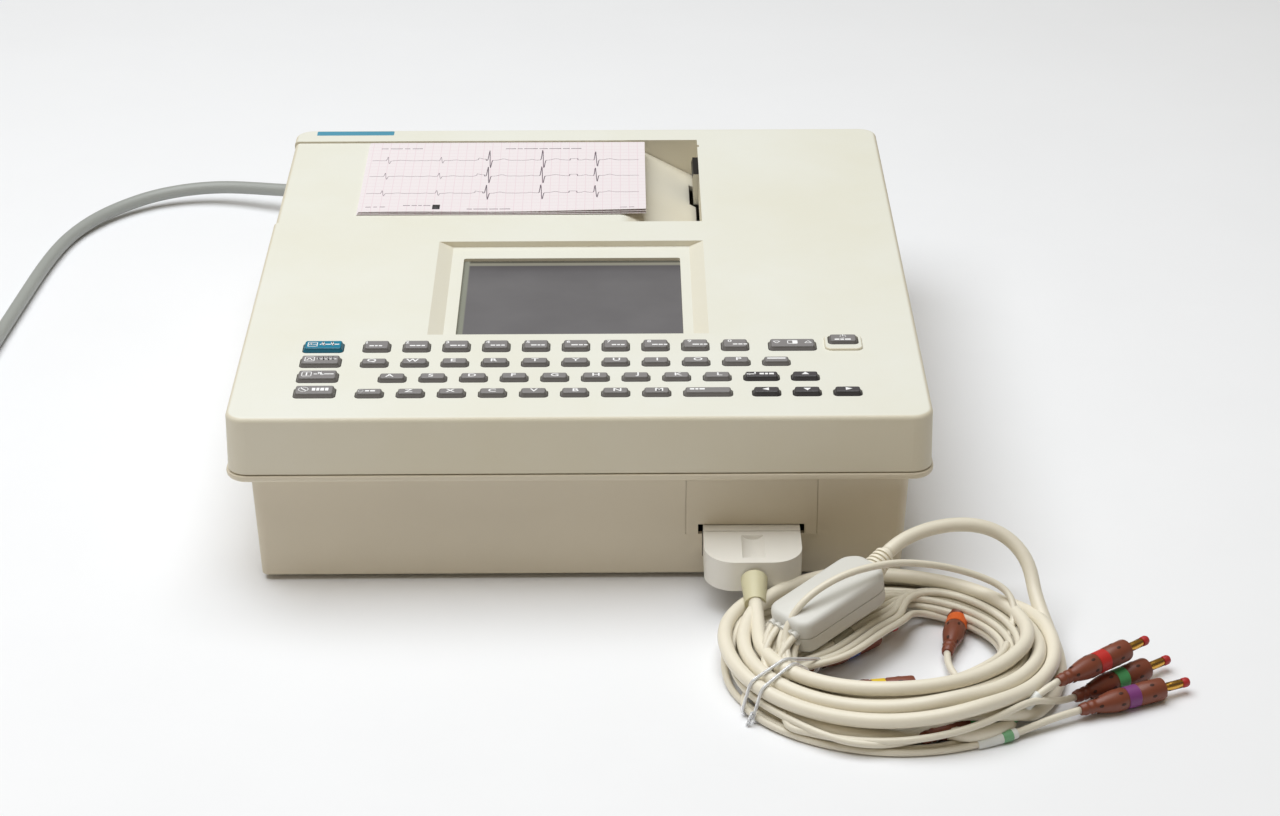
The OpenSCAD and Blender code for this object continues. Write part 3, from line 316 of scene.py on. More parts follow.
def rib_tree():
    """Rings in a row, tapering from the first to the last: the ribs of a strain relief."""
    tree, given, realize = node_tree("boot_ribs", {
        "Count": ("Int", 5), "Pitch": ("Float", 0.0024), "Width": ("Float", 0.0016),
        "First Radius": ("Float", 0.006), "Last Radius": ("Float", 0.005)})
    offset = tree_node(tree, "ShaderNodeCombineXYZ", [("Z", given.outputs["Pitch"])])
    line = tree_node(tree, "GeometryNodeMeshLine", [("Count", given.outputs["Count"]),
                                                    ("Offset", offset.outputs[0])])
    disc = tree_node(tree, "GeometryNodeMeshCylinder", [("Depth", given.outputs["Width"])])
    disc.inputs["Vertices"].default_value = 28
    disc.inputs["Radius"].default_value = 1.0
    index = tree_node(tree, "GeometryNodeInputIndex")
    last = tree_node(tree, "ShaderNodeMath", [(0, given.outputs["Count"])], operation="SUBTRACT")
    last.inputs[1].default_value = 1
    taper = tree_node(tree, "ShaderNodeMapRange", [
        ("Value", index.outputs[0]), ("From Max", last.outputs[0]),
        ("To Min", given.outputs["First Radius"]), ("To Max", given.outputs["Last Radius"])])
    scale = tree_node(tree, "ShaderNodeCombineXYZ", [("X", taper.outputs[0]), ("Y", taper.outputs[0])])
    scale.inputs["Z"].default_value = 1.0
    copies = tree_node(tree, "GeometryNodeInstanceOnPoints", [
        ("Points", line.outputs[0]), ("Instance", disc.outputs[0]), ("Scale", scale.outputs[0])])
    tree.links.new(copies.outputs[0], realize.inputs[0])
    return tree


def collar_tree():
    """Short sleeves in a grid, one round each lead wire where it leaves the block."""
    tree, given, realize = node_tree("lead_collars", {
        "Columns": ("Int", 5), "Rows": ("Int", 2), "Width": ("Float", 0.0148), "Height": ("Float", 0.0044),
        "Radius": ("Float", 0.0021), "Length": ("Float", 0.003)})
    grid = tree_node(tree, "GeometryNodeMeshGrid", [
        ("Vertices X", given.outputs["Columns"]), ("Vertices Y", given.outputs["Rows"]),
        ("Size X", given.outputs["Width"]), ("Size Y", given.outputs["Height"])])
    sleeve = tree_node(tree, "GeometryNodeMeshCylinder", [
        ("Radius", given.outputs["Radius"]), ("Depth", given.outputs["Length"])])
    sleeve.inputs["Vertices"].default_value = 16
    copies = tree_node(tree, "GeometryNodeInstanceOnPoints", [
        ("Points", grid.outputs[0]), ("Instance", sleeve.outputs[0])])
    tree.links.new(copies.outputs[0], realize.inputs[0])
    return tree


def dimple_tree():
    """Oval finger marks round a plug's body."""
    tree, given, realize = node_tree("grip_ovals", {
        "Count": ("Int", 6), "Radius": ("Float", 0.0053), "Length": ("Float", 0.0026),
        "Width": ("Float", 0.0015), "Relief": ("Float", 0.0003)})
    ring = tree_node(tree, "GeometryNodeMeshCircle", [("Vertices", given.outputs["Count"]),
                                                      ("Radius", given.outputs["Radius"])])
    ball = tree_node(tree, "GeometryNodeMeshUVSphere")
    ball.inputs["Segments"].default_value = 10
    ball.inputs["Rings"].default_value = 6
    ball.inputs["Radius"].default_value = 0.5
    size = tree_node(tree, "ShaderNodeCombineXYZ", [
        ("X", given.outputs["Relief"]), ("Y", given.outputs["Width"]), ("Z", given.outputs["Length"])])
    place = tree_node(tree, "GeometryNodeInputPosition")
    turn = tree_node(tree, "FunctionNodeAlignEulerToVector", [("Vector", place.outputs[0])], axis="X")
    copies = tree_node(tree, "GeometryNodeInstanceOnPoints", [
        ("Points", ring.outputs[0]), ("Instance", ball.outputs[0]), ("Rotation", turn.outputs[0]),
        ("Scale", size.outputs[0])])
    tree.links.new(copies.outputs[0], realize.inputs[0])
    return tree


def sharpen(obj, degrees=35):
    """Keeps edges steeper than this sharp under smooth shading."""
    obj.data.set_sharp_from_angle(angle=math.radians(degrees))


def ring_frames(points):
    """A frame along a line that turns as little as it can."""
    points = [Vector(p) for p in points]
    tangents = []
    for i in range(len(points)):
        tangents.append((points[min(i + 1, len(points) - 1)] - points[max(i - 1, 0)]).normalized())
    side = tangents[0].cross(Vector((0, 0, 1)))
    if side.length < 1e-4:
        side = tangents[0].cross(Vector((1, 0, 0)))
    side.normalize()
    frames = []
    for t in tangents:
        side = (side - t * side.dot(t)).normalized()
        frames.append((side.copy(), t.cross(side).normalized()))
    return points, frames


def tube(points, radius, sides=12):
    """Vertices and faces of a closed tube; radius is a number or one for each point."""
    points, frames = ring_frames(points)
    radii = [radius] * len(points) if isinstance(radius, (int, float)) else radius
    vertices, faces = [], []
    for p, (s, u), r in zip(points, frames, radii):
        for k in range(sides):
            a = 2 * math.pi * k / sides
            vertices.append(p + r * (math.cos(a) * s + math.sin(a) * u))
    for i in range(len(points) - 1):
        for k in range(sides):
            n = (k + 1) % sides
            faces.append((i * sides + k, (i + 1) * sides + k, (i + 1) * sides + n, i * sides + n))
    for i, flip in ((0, False), (len(points) - 1, True)):
        centre = len(vertices)
        vertices.append(points[i])
        for k in range(sides):
            n = (k + 1) % sides
            face = (centre, i * sides + k, i * sides + n)
            faces.append(face[::-1] if flip else face)
    return vertices, faces


def revolve(profile, place, sides=32):
    """A solid of revolution from (radius, height) pairs, both ends on the axis."""
    vertices, faces, rows = [], [], []
    for r, h in profile:
        if r < 1e-7:
            rows.append([len(vertices)])
            vertices.append(place @ Vector((0, 0, h)))
        else:
            rows.append(list(range(len(vertices), len(vertices) + sides)))
            for k in range(sides):
                a = 2 * math.pi * k / sides
                vertices.append(place @ Vector((r * math.cos(a), r * math.sin(a), h)))
    for low, high in zip(rows, rows[1:]):
        for k in range(sides):
            n = (k + 1) % sides
            if len(low) == 1:
                faces.append((low[0], high[n], high[k]))
            elif len(high) == 1:
                faces.append((low[k], low[n], high[0]))
            else:
                faces.append((low[k], low[n], high[n], high[k]))
    return vertices, faces


def resample(points, step):
    """Points a step apart on a Catmull-Rom curve through the given ones."""
    p = [Vector(q) for q in points]
    p = [p[0] * 2 - p[1]] + p + [p[-1] * 2 - p[-2]]
    dense = []
    for i in range(1, len(p) - 2):
        for k in range(16):
            t = k / 16
            dense.append(0.5 * ((2 * p[i]) + (p[i + 1] - p[i - 1]) * t
                                + (2 * p[i - 1] - 5 * p[i] + 4 * p[i + 1] - p[i + 2]) * t * t
                                + (3 * p[i] - p[i - 1] - 3 * p[i + 1] + p[i + 2]) * t ** 3))
    dense.append(p[-2])
    lengths = [0.0]
    for a, b in zip(dense, dense[1:]):
        lengths.append(lengths[-1] + (b - a).length)
    count = max(2, round(lengths[-1] / step))
    out, j = [], 0
    for k in range(count + 1):
        want = lengths[-1] * k / count
        while j < len(lengths) - 2 and lengths[j + 1] < want:
            j += 1
        span = max(lengths[j + 1] - lengths[j], 1e-9)
        out.append(dense[j].lerp(dense[j + 1], min(1, (want - lengths[j]) / span)))
    return out


def relax(points, times):
    """Evens out a line, ends kept."""
    points = [Vector(p) for p in points]
    for _ in range(times):
        points = [points[0]] + [(a + 2 * b + c) / 4 for a, b, c in zip(points, points[1:], points[2:])] \
            + [points[-1]]
    return points


# ---------- material helpers ----------

DRIFT_SCALE = 9.0                             # of the noise that shades a plastic slowly
DRIFT_STOPS = (0.32, 0.7)                     # noise values at which it is darkest and plain
GLOSS_DOWN, GLOSS_UP = 0.05, 0.07             # how far the roughness strays
SIDE_SHADE_STOPS = (0.85, 0.985)                   # upward part of a normal: fully a side with painted shade, fully a top without


def new_material(name, colour=(0.8, 0.8, 0.8), roughness=0.5, metallic=0.0, **sockets):
    material = bpy.data.materials.new(name)
    material.use_nodes = True
    shader = material.node_tree.nodes["Principled BSDF"]
    shader.inputs["Base Color"].default_value = (*colour[:3], 1)
    shader.inputs["Roughness"].default_value = roughness
    shader.inputs["Metallic"].default_value = metallic
    for socket, value in sockets.items():
        shader.inputs[socket.replace("_", " ")].default_value = value
    return material


def add_node(material, kind, **inputs):
    node = material.node_tree.nodes.new(kind)
    for key, value in inputs.items():
        node.inputs[key.replace("_", " ")].default_value = value
    return node


def moulded(name, colour, roughness=0.5, grain=0.0, grain_scale=1400, shade=0.06, stain=None, **sockets):
    """Moulded plastic: fine spark texture, slow colour drift and slightly uneven gloss."""
    material = new_material(name, colour, roughness, **sockets)
    tree = material.node_tree
    shader = tree.nodes["Principled BSDF"]
    place = add_node(material, "ShaderNodeTexCoord")
    slow = add_node(material, "ShaderNodeTexNoise", Scale=DRIFT_SCALE, Detail=5.0, Roughness=0.6)
    tree.links.new(place.outputs["Object"], slow.inputs["Vector"])
    ramp = add_node(material, "ShaderNodeValToRGB")
    dark = stain or tuple(c * (1 - shade) for c in colour)
    for element, position, shown in zip(ramp.color_ramp.elements, DRIFT_STOPS, (dark, colour[:3])):
        element.position = position
        element.color = (*shown, 1)
    tree.links.new(slow.outputs["Fac"], ramp.inputs["Fac"])
    tree.links.new(ramp.outputs["Color"], shader.inputs["Base Color"])
    fine = add_node(material, "ShaderNodeTexNoise", Scale=float(grain_scale), Detail=2.0)
    tree.links.new(place.outputs["Object"], fine.inputs["Vector"])
    gloss = add_node(material, "ShaderNodeMapRange", To_Min=roughness - GLOSS_DOWN,
                     To_Max=roughness + GLOSS_UP)
    tree.links.new(fine.outputs["Fac"], gloss.inputs["Value"])
    tree.links.new(gloss.outputs["Result"], shader.inputs["Roughness"])
    if grain:
        bump = add_node(material, "ShaderNodeBump", Strength=grain, Distance=0.0002)
        tree.links.new(fine.outputs["Fac"], bump.inputs["Height"])
        tree.links.new(bump.outputs["Normal"], shader.inputs["Normal"])
    return material


def split_vector(material, vector):
    """The three outputs of a node that splits a vector."""
    split = add_node(material, "ShaderNodeSeparateXYZ")
    material.node_tree.links.new(vector, split.inputs[0])
    return split.outputs


def mixed(material, factor, first, second, blend="MIX"):
    """The output of a node that mixes two colours; what isn't a socket is set as a value."""
    mix = material.node_tree.nodes.new("ShaderNodeMix")
    mix.data_type = "RGBA"
    mix.blend_type = blend
    for target, source in ((mix.inputs["Factor"], factor), (mix.inputs[6], first), (mix.inputs[7], second)):
        if isinstance(source, bpy.types.NodeSocket):
            material.node_tree.links.new(source, target)
        else:
            target.default_value = source
    return mix.outputs[2]


def paint_side_shade(material, shade_tint):
    """Painted shade: multiplies the colour of faces that don't look up by a tint, darkening the sides as if
    shade fell on them.
    """
    tree = material.node_tree
    base = tree.nodes["Principled BSDF"].inputs["Base Color"]
    facing = add_node(material, "ShaderNodeNewGeometry")
    side, top = SIDE_SHADE_STOPS
    # mask of the painted side shade: full on sides, none on tops
    level = add_node(material, "ShaderNodeMapRange", From_Min=side, From_Max=top, To_Min=1.0, To_Max=0.0)
    tree.links.new(split_vector(material, facing.outputs["Normal"])["Z"], level.inputs["Value"])
    shaded_colour = mixed(material, level.outputs[0], base.links[0].from_socket, (*shade_tint, 1), "MULTIPLY")
    tree.links.new(shaded_colour, base)
    return material


def dress(material, *nodes):
    """Gives CAD nodes a finish."""
    for node in nodes:
        obj = NODES[node]
        obj.data.materials.clear()
        obj.data.materials.append(material)


def dress_two(node, first, second, is_second):
    """Gives one CAD node two finishes, chosen face by face from the face's centre."""
    dress(first, node)
    mesh = NODES[node].data
    mesh.materials.append(second)
    for polygon in mesh.polygons:
        polygon.material_index = 1 if is_second(polygon.center) else 0


# ---------- stage ----------

CAMERA_PLACE = (0.0220, -1.4707, 0.7530)
CAMERA_TURNS = (0.335, 26.93, -0.13)          # yaw, pitch down and roll in degrees
SENSOR_WIDTH = 36
# place and aim in metres, side in metres and colour of each lamp
OVERHEAD_LAMP = ((-0.35, 0.03, 1.9), (0, -0.05, 0), 2.0, (0.945, 0.978, 1))
FRONT_LAMP = ((-0.9, -1.6, 1.5), (0, 0, 0), 1.6, (1, 0.8, 0.52))
SKY_COLOUR = (1.0, 0.87, 0.64, 1)
FLOOR_REACH = 6


class RECORDER_OT_studio(bpy.types.Operator):
    """Pale floor, soft lamps and the camera"""
    bl_idname = "recorder.studio"
    bl_label = "Studio"

    def execute(self, context):
        scene = context.scene
        studio = scene.recorder_studio
        scene.view_settings.view_transform = "Standard"
        yaw, pitch, roll = (math.radians(a) for a in CAMERA_TURNS)
        forward = Vector((math.sin(yaw) * math.cos(pitch), math.cos(yaw) * math.cos(pitch),
                          -math.sin(pitch)))
        right = Vector((math.cos(yaw), -math.sin(yaw), 0))
        right = right * math.cos(roll) + right.cross(forward) * math.sin(roll)
        up = right.cross(forward)
        data = bpy.data.cameras.new("camera")
        data.lens = studio.lens
        data.sensor_width = SENSOR_WIDTH
        data.clip_start = 0.01
        camera = bpy.data.objects.new("camera", data)
        rows = [(right[i], up[i], -forward[i], CAMERA_PLACE[i]) for i in range(3)]
        camera.matrix_world = Matrix((*rows, (0, 0, 0, 1)))
        scene.collection.objects.link(camera)
        scene.camera = camera
        self.lamp("overhead_lamp", studio.lamp, *OVERHEAD_LAMP)
        self.lamp("front_lamp", studio.fill, *FRONT_LAMP)
        world = bpy.data.worlds.new("even_light")
        scene.world = world
        world.use_nodes = True
        back = world.node_tree.nodes["Background"]
        back.inputs["Color"].default_value = SKY_COLOUR
        back.inputs["Strength"].default_value = studio.sky
        paper = moulded("floor_paper", scene.recorder_colours.floor, 0.7, grain_scale=300, shade=0.015)
        corners = [(x * FLOOR_REACH, y * FLOOR_REACH, 0) for x, y in ((-1, -1), (1, -1), (1, 1), (-1, 1))]
        floor = make_object("studio_floor", corners, [(0, 1, 2, 3)], paper, smooth=False)
        return {"FINISHED"}

    def lamp(self, name, power, place, aim, size, colour):
        data = bpy.data.lights.new(name, "AREA")
        data.color = colour
        data.size = size
        data.energy = power
        lamp = bpy.data.objects.new(name, data)
        lamp.location = place
        lamp.rotation_euler = (Vector(aim) - Vector(place)).to_track_quat("-Z", "Y").to_euler()
        bpy.context.scene.collection.objects.link(lamp)


# ---------- mains cord ----------

MAINS_ROUTE = [(-100, 233, 28), (-101, 245, 27), (-106, 258, 25), (-116, 270, 22.5), (-131, 280, 20),
               (-150, 286, 18), (-171, 290, 16), (-193, 295, 14), (-214, 302, 12.5), (-236, 308, 11),
               (-258, 308, 9.5), (-280, 301, 8), (-299, 287, 6.5), (-314, 268, 5.5), (-325, 245, 4.5),
               (-331, 219, 4.5), (-335, 190, 4.5), (-338, 160, 4.5), (-341, 128, 4.5), (-344, 95, 4.5),
               (-346, 68, 4.5), (-348, 42, 4.5), (-348, 15, 4.1)]
MAINS_COIL = (-400, 15)
MAINS_RINGS = [(52, 4.1), (43.9, 4.1), (35.8, 4.1), (35.8, 12.2), (43.9, 12.2), (52, 12.2), (52, 20.3)]
MAINS_TURNS = 6.5
MAINS_STEP = 0.004                            # metres between the finished cord's points
BLADES_FROM = 0.0952                          # the plug's blades lie to the rear of this
MAINS_TAIL = [(-452, 24, 19.5), (-452, 34, 16.5), (-452, 46, 13.8), (-452, 56, 13)]


def neat_coil(centre, rings, turns, jog=70, step=10):
    """Points of a wound coil, clockwise from +X: each ring is a full turn, then a short jog."""
    points = []
    for k in range(1, round(turns * 360 / step) + 1):
        angle = k * step
        ring = int(angle // 360)
        r, z = rings[min(ring, len(rings) - 1)]
        into = angle - 360 * ring - (360 - jog)
        if into > 0 and ring + 1 < len(rings):
            t = into / jog
            t = t * t * (3 - 2 * t)
            next_r, next_z = rings[ring + 1]
            r, z = r + (next_r - r) * t, z + (next_z - z) * t
        a = math.radians(-angle)
        points.append((centre[0] + r * math.cos(a), centre[1] + r * math.sin(a), z))
    return points


class RECORDER_OT_mains_cord(bpy.types.Operator):
    """Mains cord: out of the rear inlet, along the table and wound into a coil"""
    bl_idname = "recorder.mains_cord"
    bl_label = "Mains cord"

    def execute(self, context):
        sizes, colours = context.scene.recorder_cables, context.scene.recorder_colours
        route = MAINS_ROUTE + neat_coil(MAINS_COIL, MAINS_RINGS, MAINS_TURNS) + MAINS_TAIL
        points = relax(resample([Vector(p) * MM for p in route], MAINS_STEP), 3)
        jacket = moulded("mains_jacket", colours.mains, 0.42, grain=0.15, grain_scale=900)
        cord = join_parts("mains_cord", [tube(points, sizes.mains / 2, sizes.sides)], jacket)
        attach(cord, "case")
        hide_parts("mains_cable", "mains_coil")
        plastic = moulded("mains_plug_plastic", linear(140, 143, 141), 0.38, grain=0.1)
        dress(plastic, "mains_connector")
        dress_two("mains_plug", plastic, moulded("plug_blades", linear(190, 186, 170), 0.28, metallic=1.0),
                  lambda c: c.y > BLADES_FROM)
        return {"FINISHED"}


# ---------- patient cable ----------

RING_CENTRE = (148.0, -263.0)
RING_STRETCH = 7.0                            # how much wider the coil is along X
RING_OVAL = 1.1                               # the same as a share
RING_STEP = 5                                 # degrees between cross-sections of the coil
PLUG_BODY = 45.0
# name, cable end and heading of the plug, colour of its band, and the wire's turns and last angle
Lead = namedtuple("Lead", "name end heading band turns leave")
LEADS = [Lead(*lead) for lead in (
    ("violet", (232, -310, 5.6), 24, linear(124, 58, 122), 1, 290),
    ("red", (222, -304, 17.5), 38, linear(190, 40, 35), 1, 300),
    ("green", (231, -299, 5.6), 34, linear(84, 172, 108), 1, 310),
    ("orange", (175.5, -259.5, 5.6), 75, linear(226, 100, 30), 1, 300),
    ("black", (100.5, -261.5, 5.6), 40, linear(25, 25, 26), 2, 150),
    ("blue", (108, -271.5, 5.6), 40, linear(40, 80, 170), 2, 165),
    ("yellow", (113, -296, 5.6), 9, linear(225, 190, 40), 2, 205),
    ("crimson", (145.4, -312.3, 5.6), 28, linear(180, 30, 35), 2, 235),
    ("white", (151, -322.8, 5.6), 28, linear(235, 235, 232), 2, 215),
    ("lime", (156.5, -333.2, 5.6), 28, linear(50, 150, 70), 2, 225))]
MODULE = moved(120, -252, 30) @ rotated(40, "Z") @ rotated(-10, "Y")


def on_ring(angle, r, z):
    """Point in metres at an angle, radius and height of the coil, which is stretched along X."""
    a = math.radians(angle)
    return Vector((RING_CENTRE[0] + (r + RING_STRETCH) * math.cos(a), RING_CENTRE[1] + r * math.sin(a),
                   z)) * MM


def way_of(heading):
    """A level direction from its angle."""
    a = math.radians(heading)
    return Vector((math.cos(a), math.sin(a), 0))


def keyed(keys, angle):
    """Radius and height at an angle, smooth between the keys."""
    for (a0, r0, z0), (a1, r1, z1) in zip(keys, keys[1:]):
        if angle <= a1:
            t = min(max((angle - a0) / (a1 - a0), 0), 1)
            t = t * t * (3 - 2 * t)
            return r0 + (r1 - r0) * t, z0 + (z1 - z0) * t
    return keys[-1][1:]


def strand(keys, start, stop, half, pinned=False):
    """Radius and height of a strand at each cross-section between two angles, and its half thickness."""
    spots = [keyed(keys, angle) for angle in range(start, stop + 1, RING_STEP)]
    return {"start": start, "r": [r for r, z in spots], "z": [z for r, z in spots], "half": half,
            "pinned": pinned}


PACK_ROUNDS = 500
PACK_GAP = 0.12                               # millimetres wanted between strands
PACK_PUSH = 0.32                              # share of an overlap undone in a round
PLUG_PUSH = 0.5                               # the same for a plug in the coil
HOME_R, HOME_Z = 0.01, 0.004                  # share of the way home in a round, at first
SINK = 0.02                                   # millimetres of fall in a round, at first
EVENING = 0.4                                 # share of a round's smoothing
FLOOR_GAP = 0.15                              # between the lowest strands and the table
BUNDLE = (44, 78)                             # inner and outer radius of the coil


def pack_strands(strands, obstacles):
    """Settles strands that run round one ring: they push each other apart, cross-section by
    cross-section, and keep clear of the obstacles."""
    counts = [len(one["r"]) for one in strands]
    owner = np.repeat(np.arange(len(strands)), counts)
    index = np.concatenate([np.arange(count) for count in counts])
    half = np.array([strands[o]["half"] for o in owner])
    bins = (np.array([strands[o]["start"] // RING_STEP for o in owner]) + index) % (360 // RING_STEP)
    home_r = np.concatenate([one["r"] for one in strands])
    home_z = np.concatenate([one["z"] for one in strands])
    r, z = home_r.copy(), home_z.copy()
    members_of = [np.nonzero(bins == b)[0] for b in range(360 // RING_STEP)]
    width = max(len(members) for members in members_of)
    table = np.full((len(members_of), width), -1)
    for b, members in enumerate(members_of):
        table[b, :len(members)] = members
    present = table >= 0
    ends = (index == 0) | np.append(owner[1:] != owner[:-1], True)
    free = ~(ends & np.array([strands[o]["pinned"] for o in owner]))
    inner = np.nonzero(~ends)[0]

    def evened(values):
        smooth = values.copy()
        smooth[inner] = 0.5 * values[inner] + 0.25 * (values[inner - 1] + values[inner + 1])
        return (1 - EVENING) * values + EVENING * smooth

    others = ~np.eye(width, dtype=bool)[None]
    for turn in range(PACK_ROUNDS):
        pr, pz, ph = r[table], z[table], half[table]
        dr = pr[:, :, None] - pr[:, None, :]
        dz = pz[:, :, None] - pz[:, None, :]
        gap = np.sqrt(dr ** 2 + dz ** 2) + 1e-6
        push = (ph[:, :, None] + ph[:, None, :] + PACK_GAP) - gap
        both = present[:, :, None] & present[:, None, :] & (push > 0) & others
        push = np.where(both, push, 0) * PACK_PUSH
        move_r, move_z = np.zeros_like(r), np.zeros_like(z)
        np.add.at(move_r, table[present], (push * dr / gap).sum(2)[present])
        np.add.at(move_z, table[present], (push * dz / gap).sum(2)[present])
        for b, plug_r, plug_z, plug_half in obstacles:
            members = members_of[b]
            dr, dz = r[members] - plug_r, z[members] - plug_z
            gap = np.sqrt(dr ** 2 + dz ** 2) + 1e-6
            push = np.clip(half[members] + plug_half - gap, 0, None) * PLUG_PUSH
            move_r[members] += push * dr / gap
            move_z[members] += push * dz / gap
        calm = 1 - turn / PACK_ROUNDS
        move_r += (home_r - r) * HOME_R * calm
        move_z += (home_z - z) * HOME_Z * calm - SINK * calm
        r = evened(r + np.where(free, move_r, 0))
        z = evened(z + np.where(free, move_z, 0))
        z = np.maximum(z, half + FLOOR_GAP)
        r = np.clip(r, BUNDLE[0] + half, BUNDLE[1] - half)
    at = 0
    for one, count in zip(strands, counts):
        one["r"], one["z"] = r[at:at + count], z[at:at + count]
        at += count


def bend_to(start, start_way, end, end_way, pull):
    """A smooth bend between two points with their headings."""
    reach = (end - start).length * pull
    a, b = start + start_way.normalized() * reach, end - end_way.normalized() * reach
    return [start * (1 - t) ** 3 + a * 3 * t * (1 - t) ** 2 + b * 3 * t * t * (1 - t) + end * t ** 3
            for t in (k / BEND_PARTS for k in range(1, BEND_PARTS))]


TRUNK_IN = [(84.8, -234, 19), (85, -241, 17.8), (85.2, -249, 17)]
ARCH = [(221, -226, 18), (220, -217, 25), (216, -209, 32), (208, -203, 38),
        (197, -201.5, 42.5), (184, -203, 44.5), (172, -206.5, 44.5), (163, -211, 43.8),
        (156, -216, 42.8), (151.5, -220.5, 41.9), (148, -225, 40.8)]
# a lead wire that rises over the junction block, right to left
OVERPASS = [(203, -262, 9), (206.5, -252.5, 13.5), (209, -243, 18.5), (207, -232.5, 24),
            (193, -228.5, 30), (175, -232, 37.5), (157, -239.5, 44), (145, -247, 47.5), (128, -255.5, 48),
            (114.5, -262.5, 44.5), (104.5, -268.5, 39), (98.5, -272, 31), (96, -278, 23.5),
            (98.5, -287, 18)]
OVERPASS_LEAD = "green"
OVERPASS_ARC = (360, 590)                     # ring angles that the overpass stands in for
# the inner line of the leads that cut across the ring's rear left, over two plugs
SHORTCUT = [(186.2, -214.5, 8), (173.7, -216.7, 10), (159.8, -222.8, 12.5), (147.4, -230.8, 14.5),
            (133.9, -242.6, 15), (121.8, -258, 15.2), (110, -271.3, 15.6), (99.8, -281.5, 16)]
SHORTCUT_ARC = (415, 570)
SHORTCUT_EASE = (0.42, 0.15)                  # shares of the arc over which a lead joins and leaves it
# sideways and upward shift of each lead from the line
SHORTCUT_LEADS = {"black": (-4.2, 0), "blue": (0, 0.6), "yellow": (3.9, 0.2), "crimson": (7.8, 1.4),
                  "white": (1.8, 3.7), "violet": (-8.4, 0.4), "red": (-12.6, 0.2), "lime": (-17, 0.6)}
LEAD_PASSES, STIFF_PASSES = 9, 20             # of smoothing
STIFF_LEADS = ("blue", "lime")                # smoothed more, as they turn tightest
# angle, radius and height of the trunk, from the hood over the top and down through the turns
TRUNK_KEYS = [(170, 56, 16.5), (200, 57, 19), (225, 53.5, 23), (260, 55, 24), (300, 51, 23),
              (350, 55, 19), (380, 61, 15), (450, 62, 15), (520, 63, 12), (560, 63, 15.5),
              (630, 62, 16.5), (700, 62, 15), (740, 67, 9.5), (880, 69, 9), (990, 68.5, 10),
              (1080, 68, 9.5), (1170, 68, 4), (1250, 66, 3.7), (1350, 66, 3.7), (1440, 66, 3.7),
              (1560, 64.5, 3.7), (1710, 64.5, 3.7), (1780, 68, 4), (1815, 72, 8)]
TRUNK_ARC = (175, 1815)
TRUNK_STEP, LEAD_STEP = 0.0035, 0.0025        # metres between the finished cords' points
TRUNK_HALF, LEAD_HALF = 3.5, 1.75             # half thickness
TRUNK_PASSES = 4                              # of smoothing
LEAD_STARTS = (215, 220, 220, 220)            # first angle of a lead on the coil, in turn
# leads that end at the right run along the coil's outer foot at last
OUTER_SLOTS = {0: (75.5, 2), 1: (71.8, 2), 2: (75.5, 5.6)}
# radius and height of each slot in the bundle
LEAD_SLOTS = [(48, 2), (51.6, 2), (55.2, 2), (58.8, 2), (49.8, 5.2), (53.4, 5.2), (57, 5.2), (48, 8.4),
              (51.6, 8.4), (55.2, 8.4), (58.8, 8.4), (49.8, 11.6), (53.4, 11.6), (57, 11.6), (49, 14.8),
              (52.6, 14.8), (56.2, 14.8), (74.5, 2), (74.5, 5.4), (60.5, 5.4), (60.5, 11.8)]
# degrees on from its start at which a lead leaves a slot and reaches the next
SLOT_CHANGES = (0, 250, 340, 610, 700, 1000)
OUTER_CHANGES = (0, 250, 330, 500)
INNER_LEADS = 7                               # first lead whose plug lies under the coil
PLUG_LENGTH, PLUG_Z = 60, 5.6
COLLAR, COLLAR_HALF, BODY_HALF = 14, 4, 5.9   # length of a plug's thin end, half thickness of both ends
BEND_PARTS = 8                                # steps of the bend at each end of the coil
BLOCK_FACE = -30                              # where the leads leave the block
LEAVE_WAY = (-1, 0, -0.35)
BLOCK_COLUMNS, LEAD_PITCH, ROW_PITCH = 5, 3.7, 4.4
BLOCK_OUTLINE = [(-30, -9), (-26, -13.5), (22, -13.5), (28, -7.5), (28, 7.5), (22, 13.5), (-26, 13.5),
                 (-30, 9)]
# height and how far the outline is drawn in, with a parting groove at mid height
BLOCK_LEVELS = [(-9, 2.6), (-8.3, 1.0), (-7.2, 0.2), (-6, 0), (-0.4, 0), (-0.25, 0.45), (0.25, 0.45),
                (0.4, 0), (6, 0), (7.2, 0.2), (8.3, 1.0), (9, 2.6)]
BLOCK_CORNER = 4.5
BOOT_CORE = [(0, -1), (4.4, -1), (4.2, 2), (3.7, 13.4), (3.4, 14), (0, 14)]
# radius and height of the turned pieces of a plug
PLUG_PROFILE = [(0, 0), (2.3, 0), (2.7, 0.4), (2.9, 2), (3.1, 2.4), (3.1, 3.6), (2.8, 4), (2.9, 5.2),
                (3.2, 5.6), (3.2, 6.8), (2.95, 7.2), (3.1, 8.4), (3.4, 9), (4.4, 13), (5.1, 16.5),
                (5.35, 19), (5.4, 23), (5.05, 23.5), (5.05, 31.5), (5.4, 32), (5.4, 43.6), (5.1, 44.6),
                (4.3, 45), (2.6, 45), (2.6, 44.4), (0, 44.4)]
BAND_PROFILE = [(0, 24), (4.8, 24.2), (5.06, 24.2), (5.3, 24.4), (5.3, 30.6), (5.06, 30.8), (4.8, 30.8),
                (0, 31)]
PIN_PROFILE = [(0, 0), (2.5, 0), (2.5, 0.8), (1.75, 1.2), (1.75, 2), (2.05, 4), (2.12, 6), (2.05, 8),
               (1.75, 10.2), (1.75, 10.8), (0, 10.8)]
TIP_PROFILE = [(0, 10.7), (2.2, 10.7), (2.35, 11.2), (2.35, 13.2), (1.9, 14.2), (1.2, 14.5), (0, 14.5)]
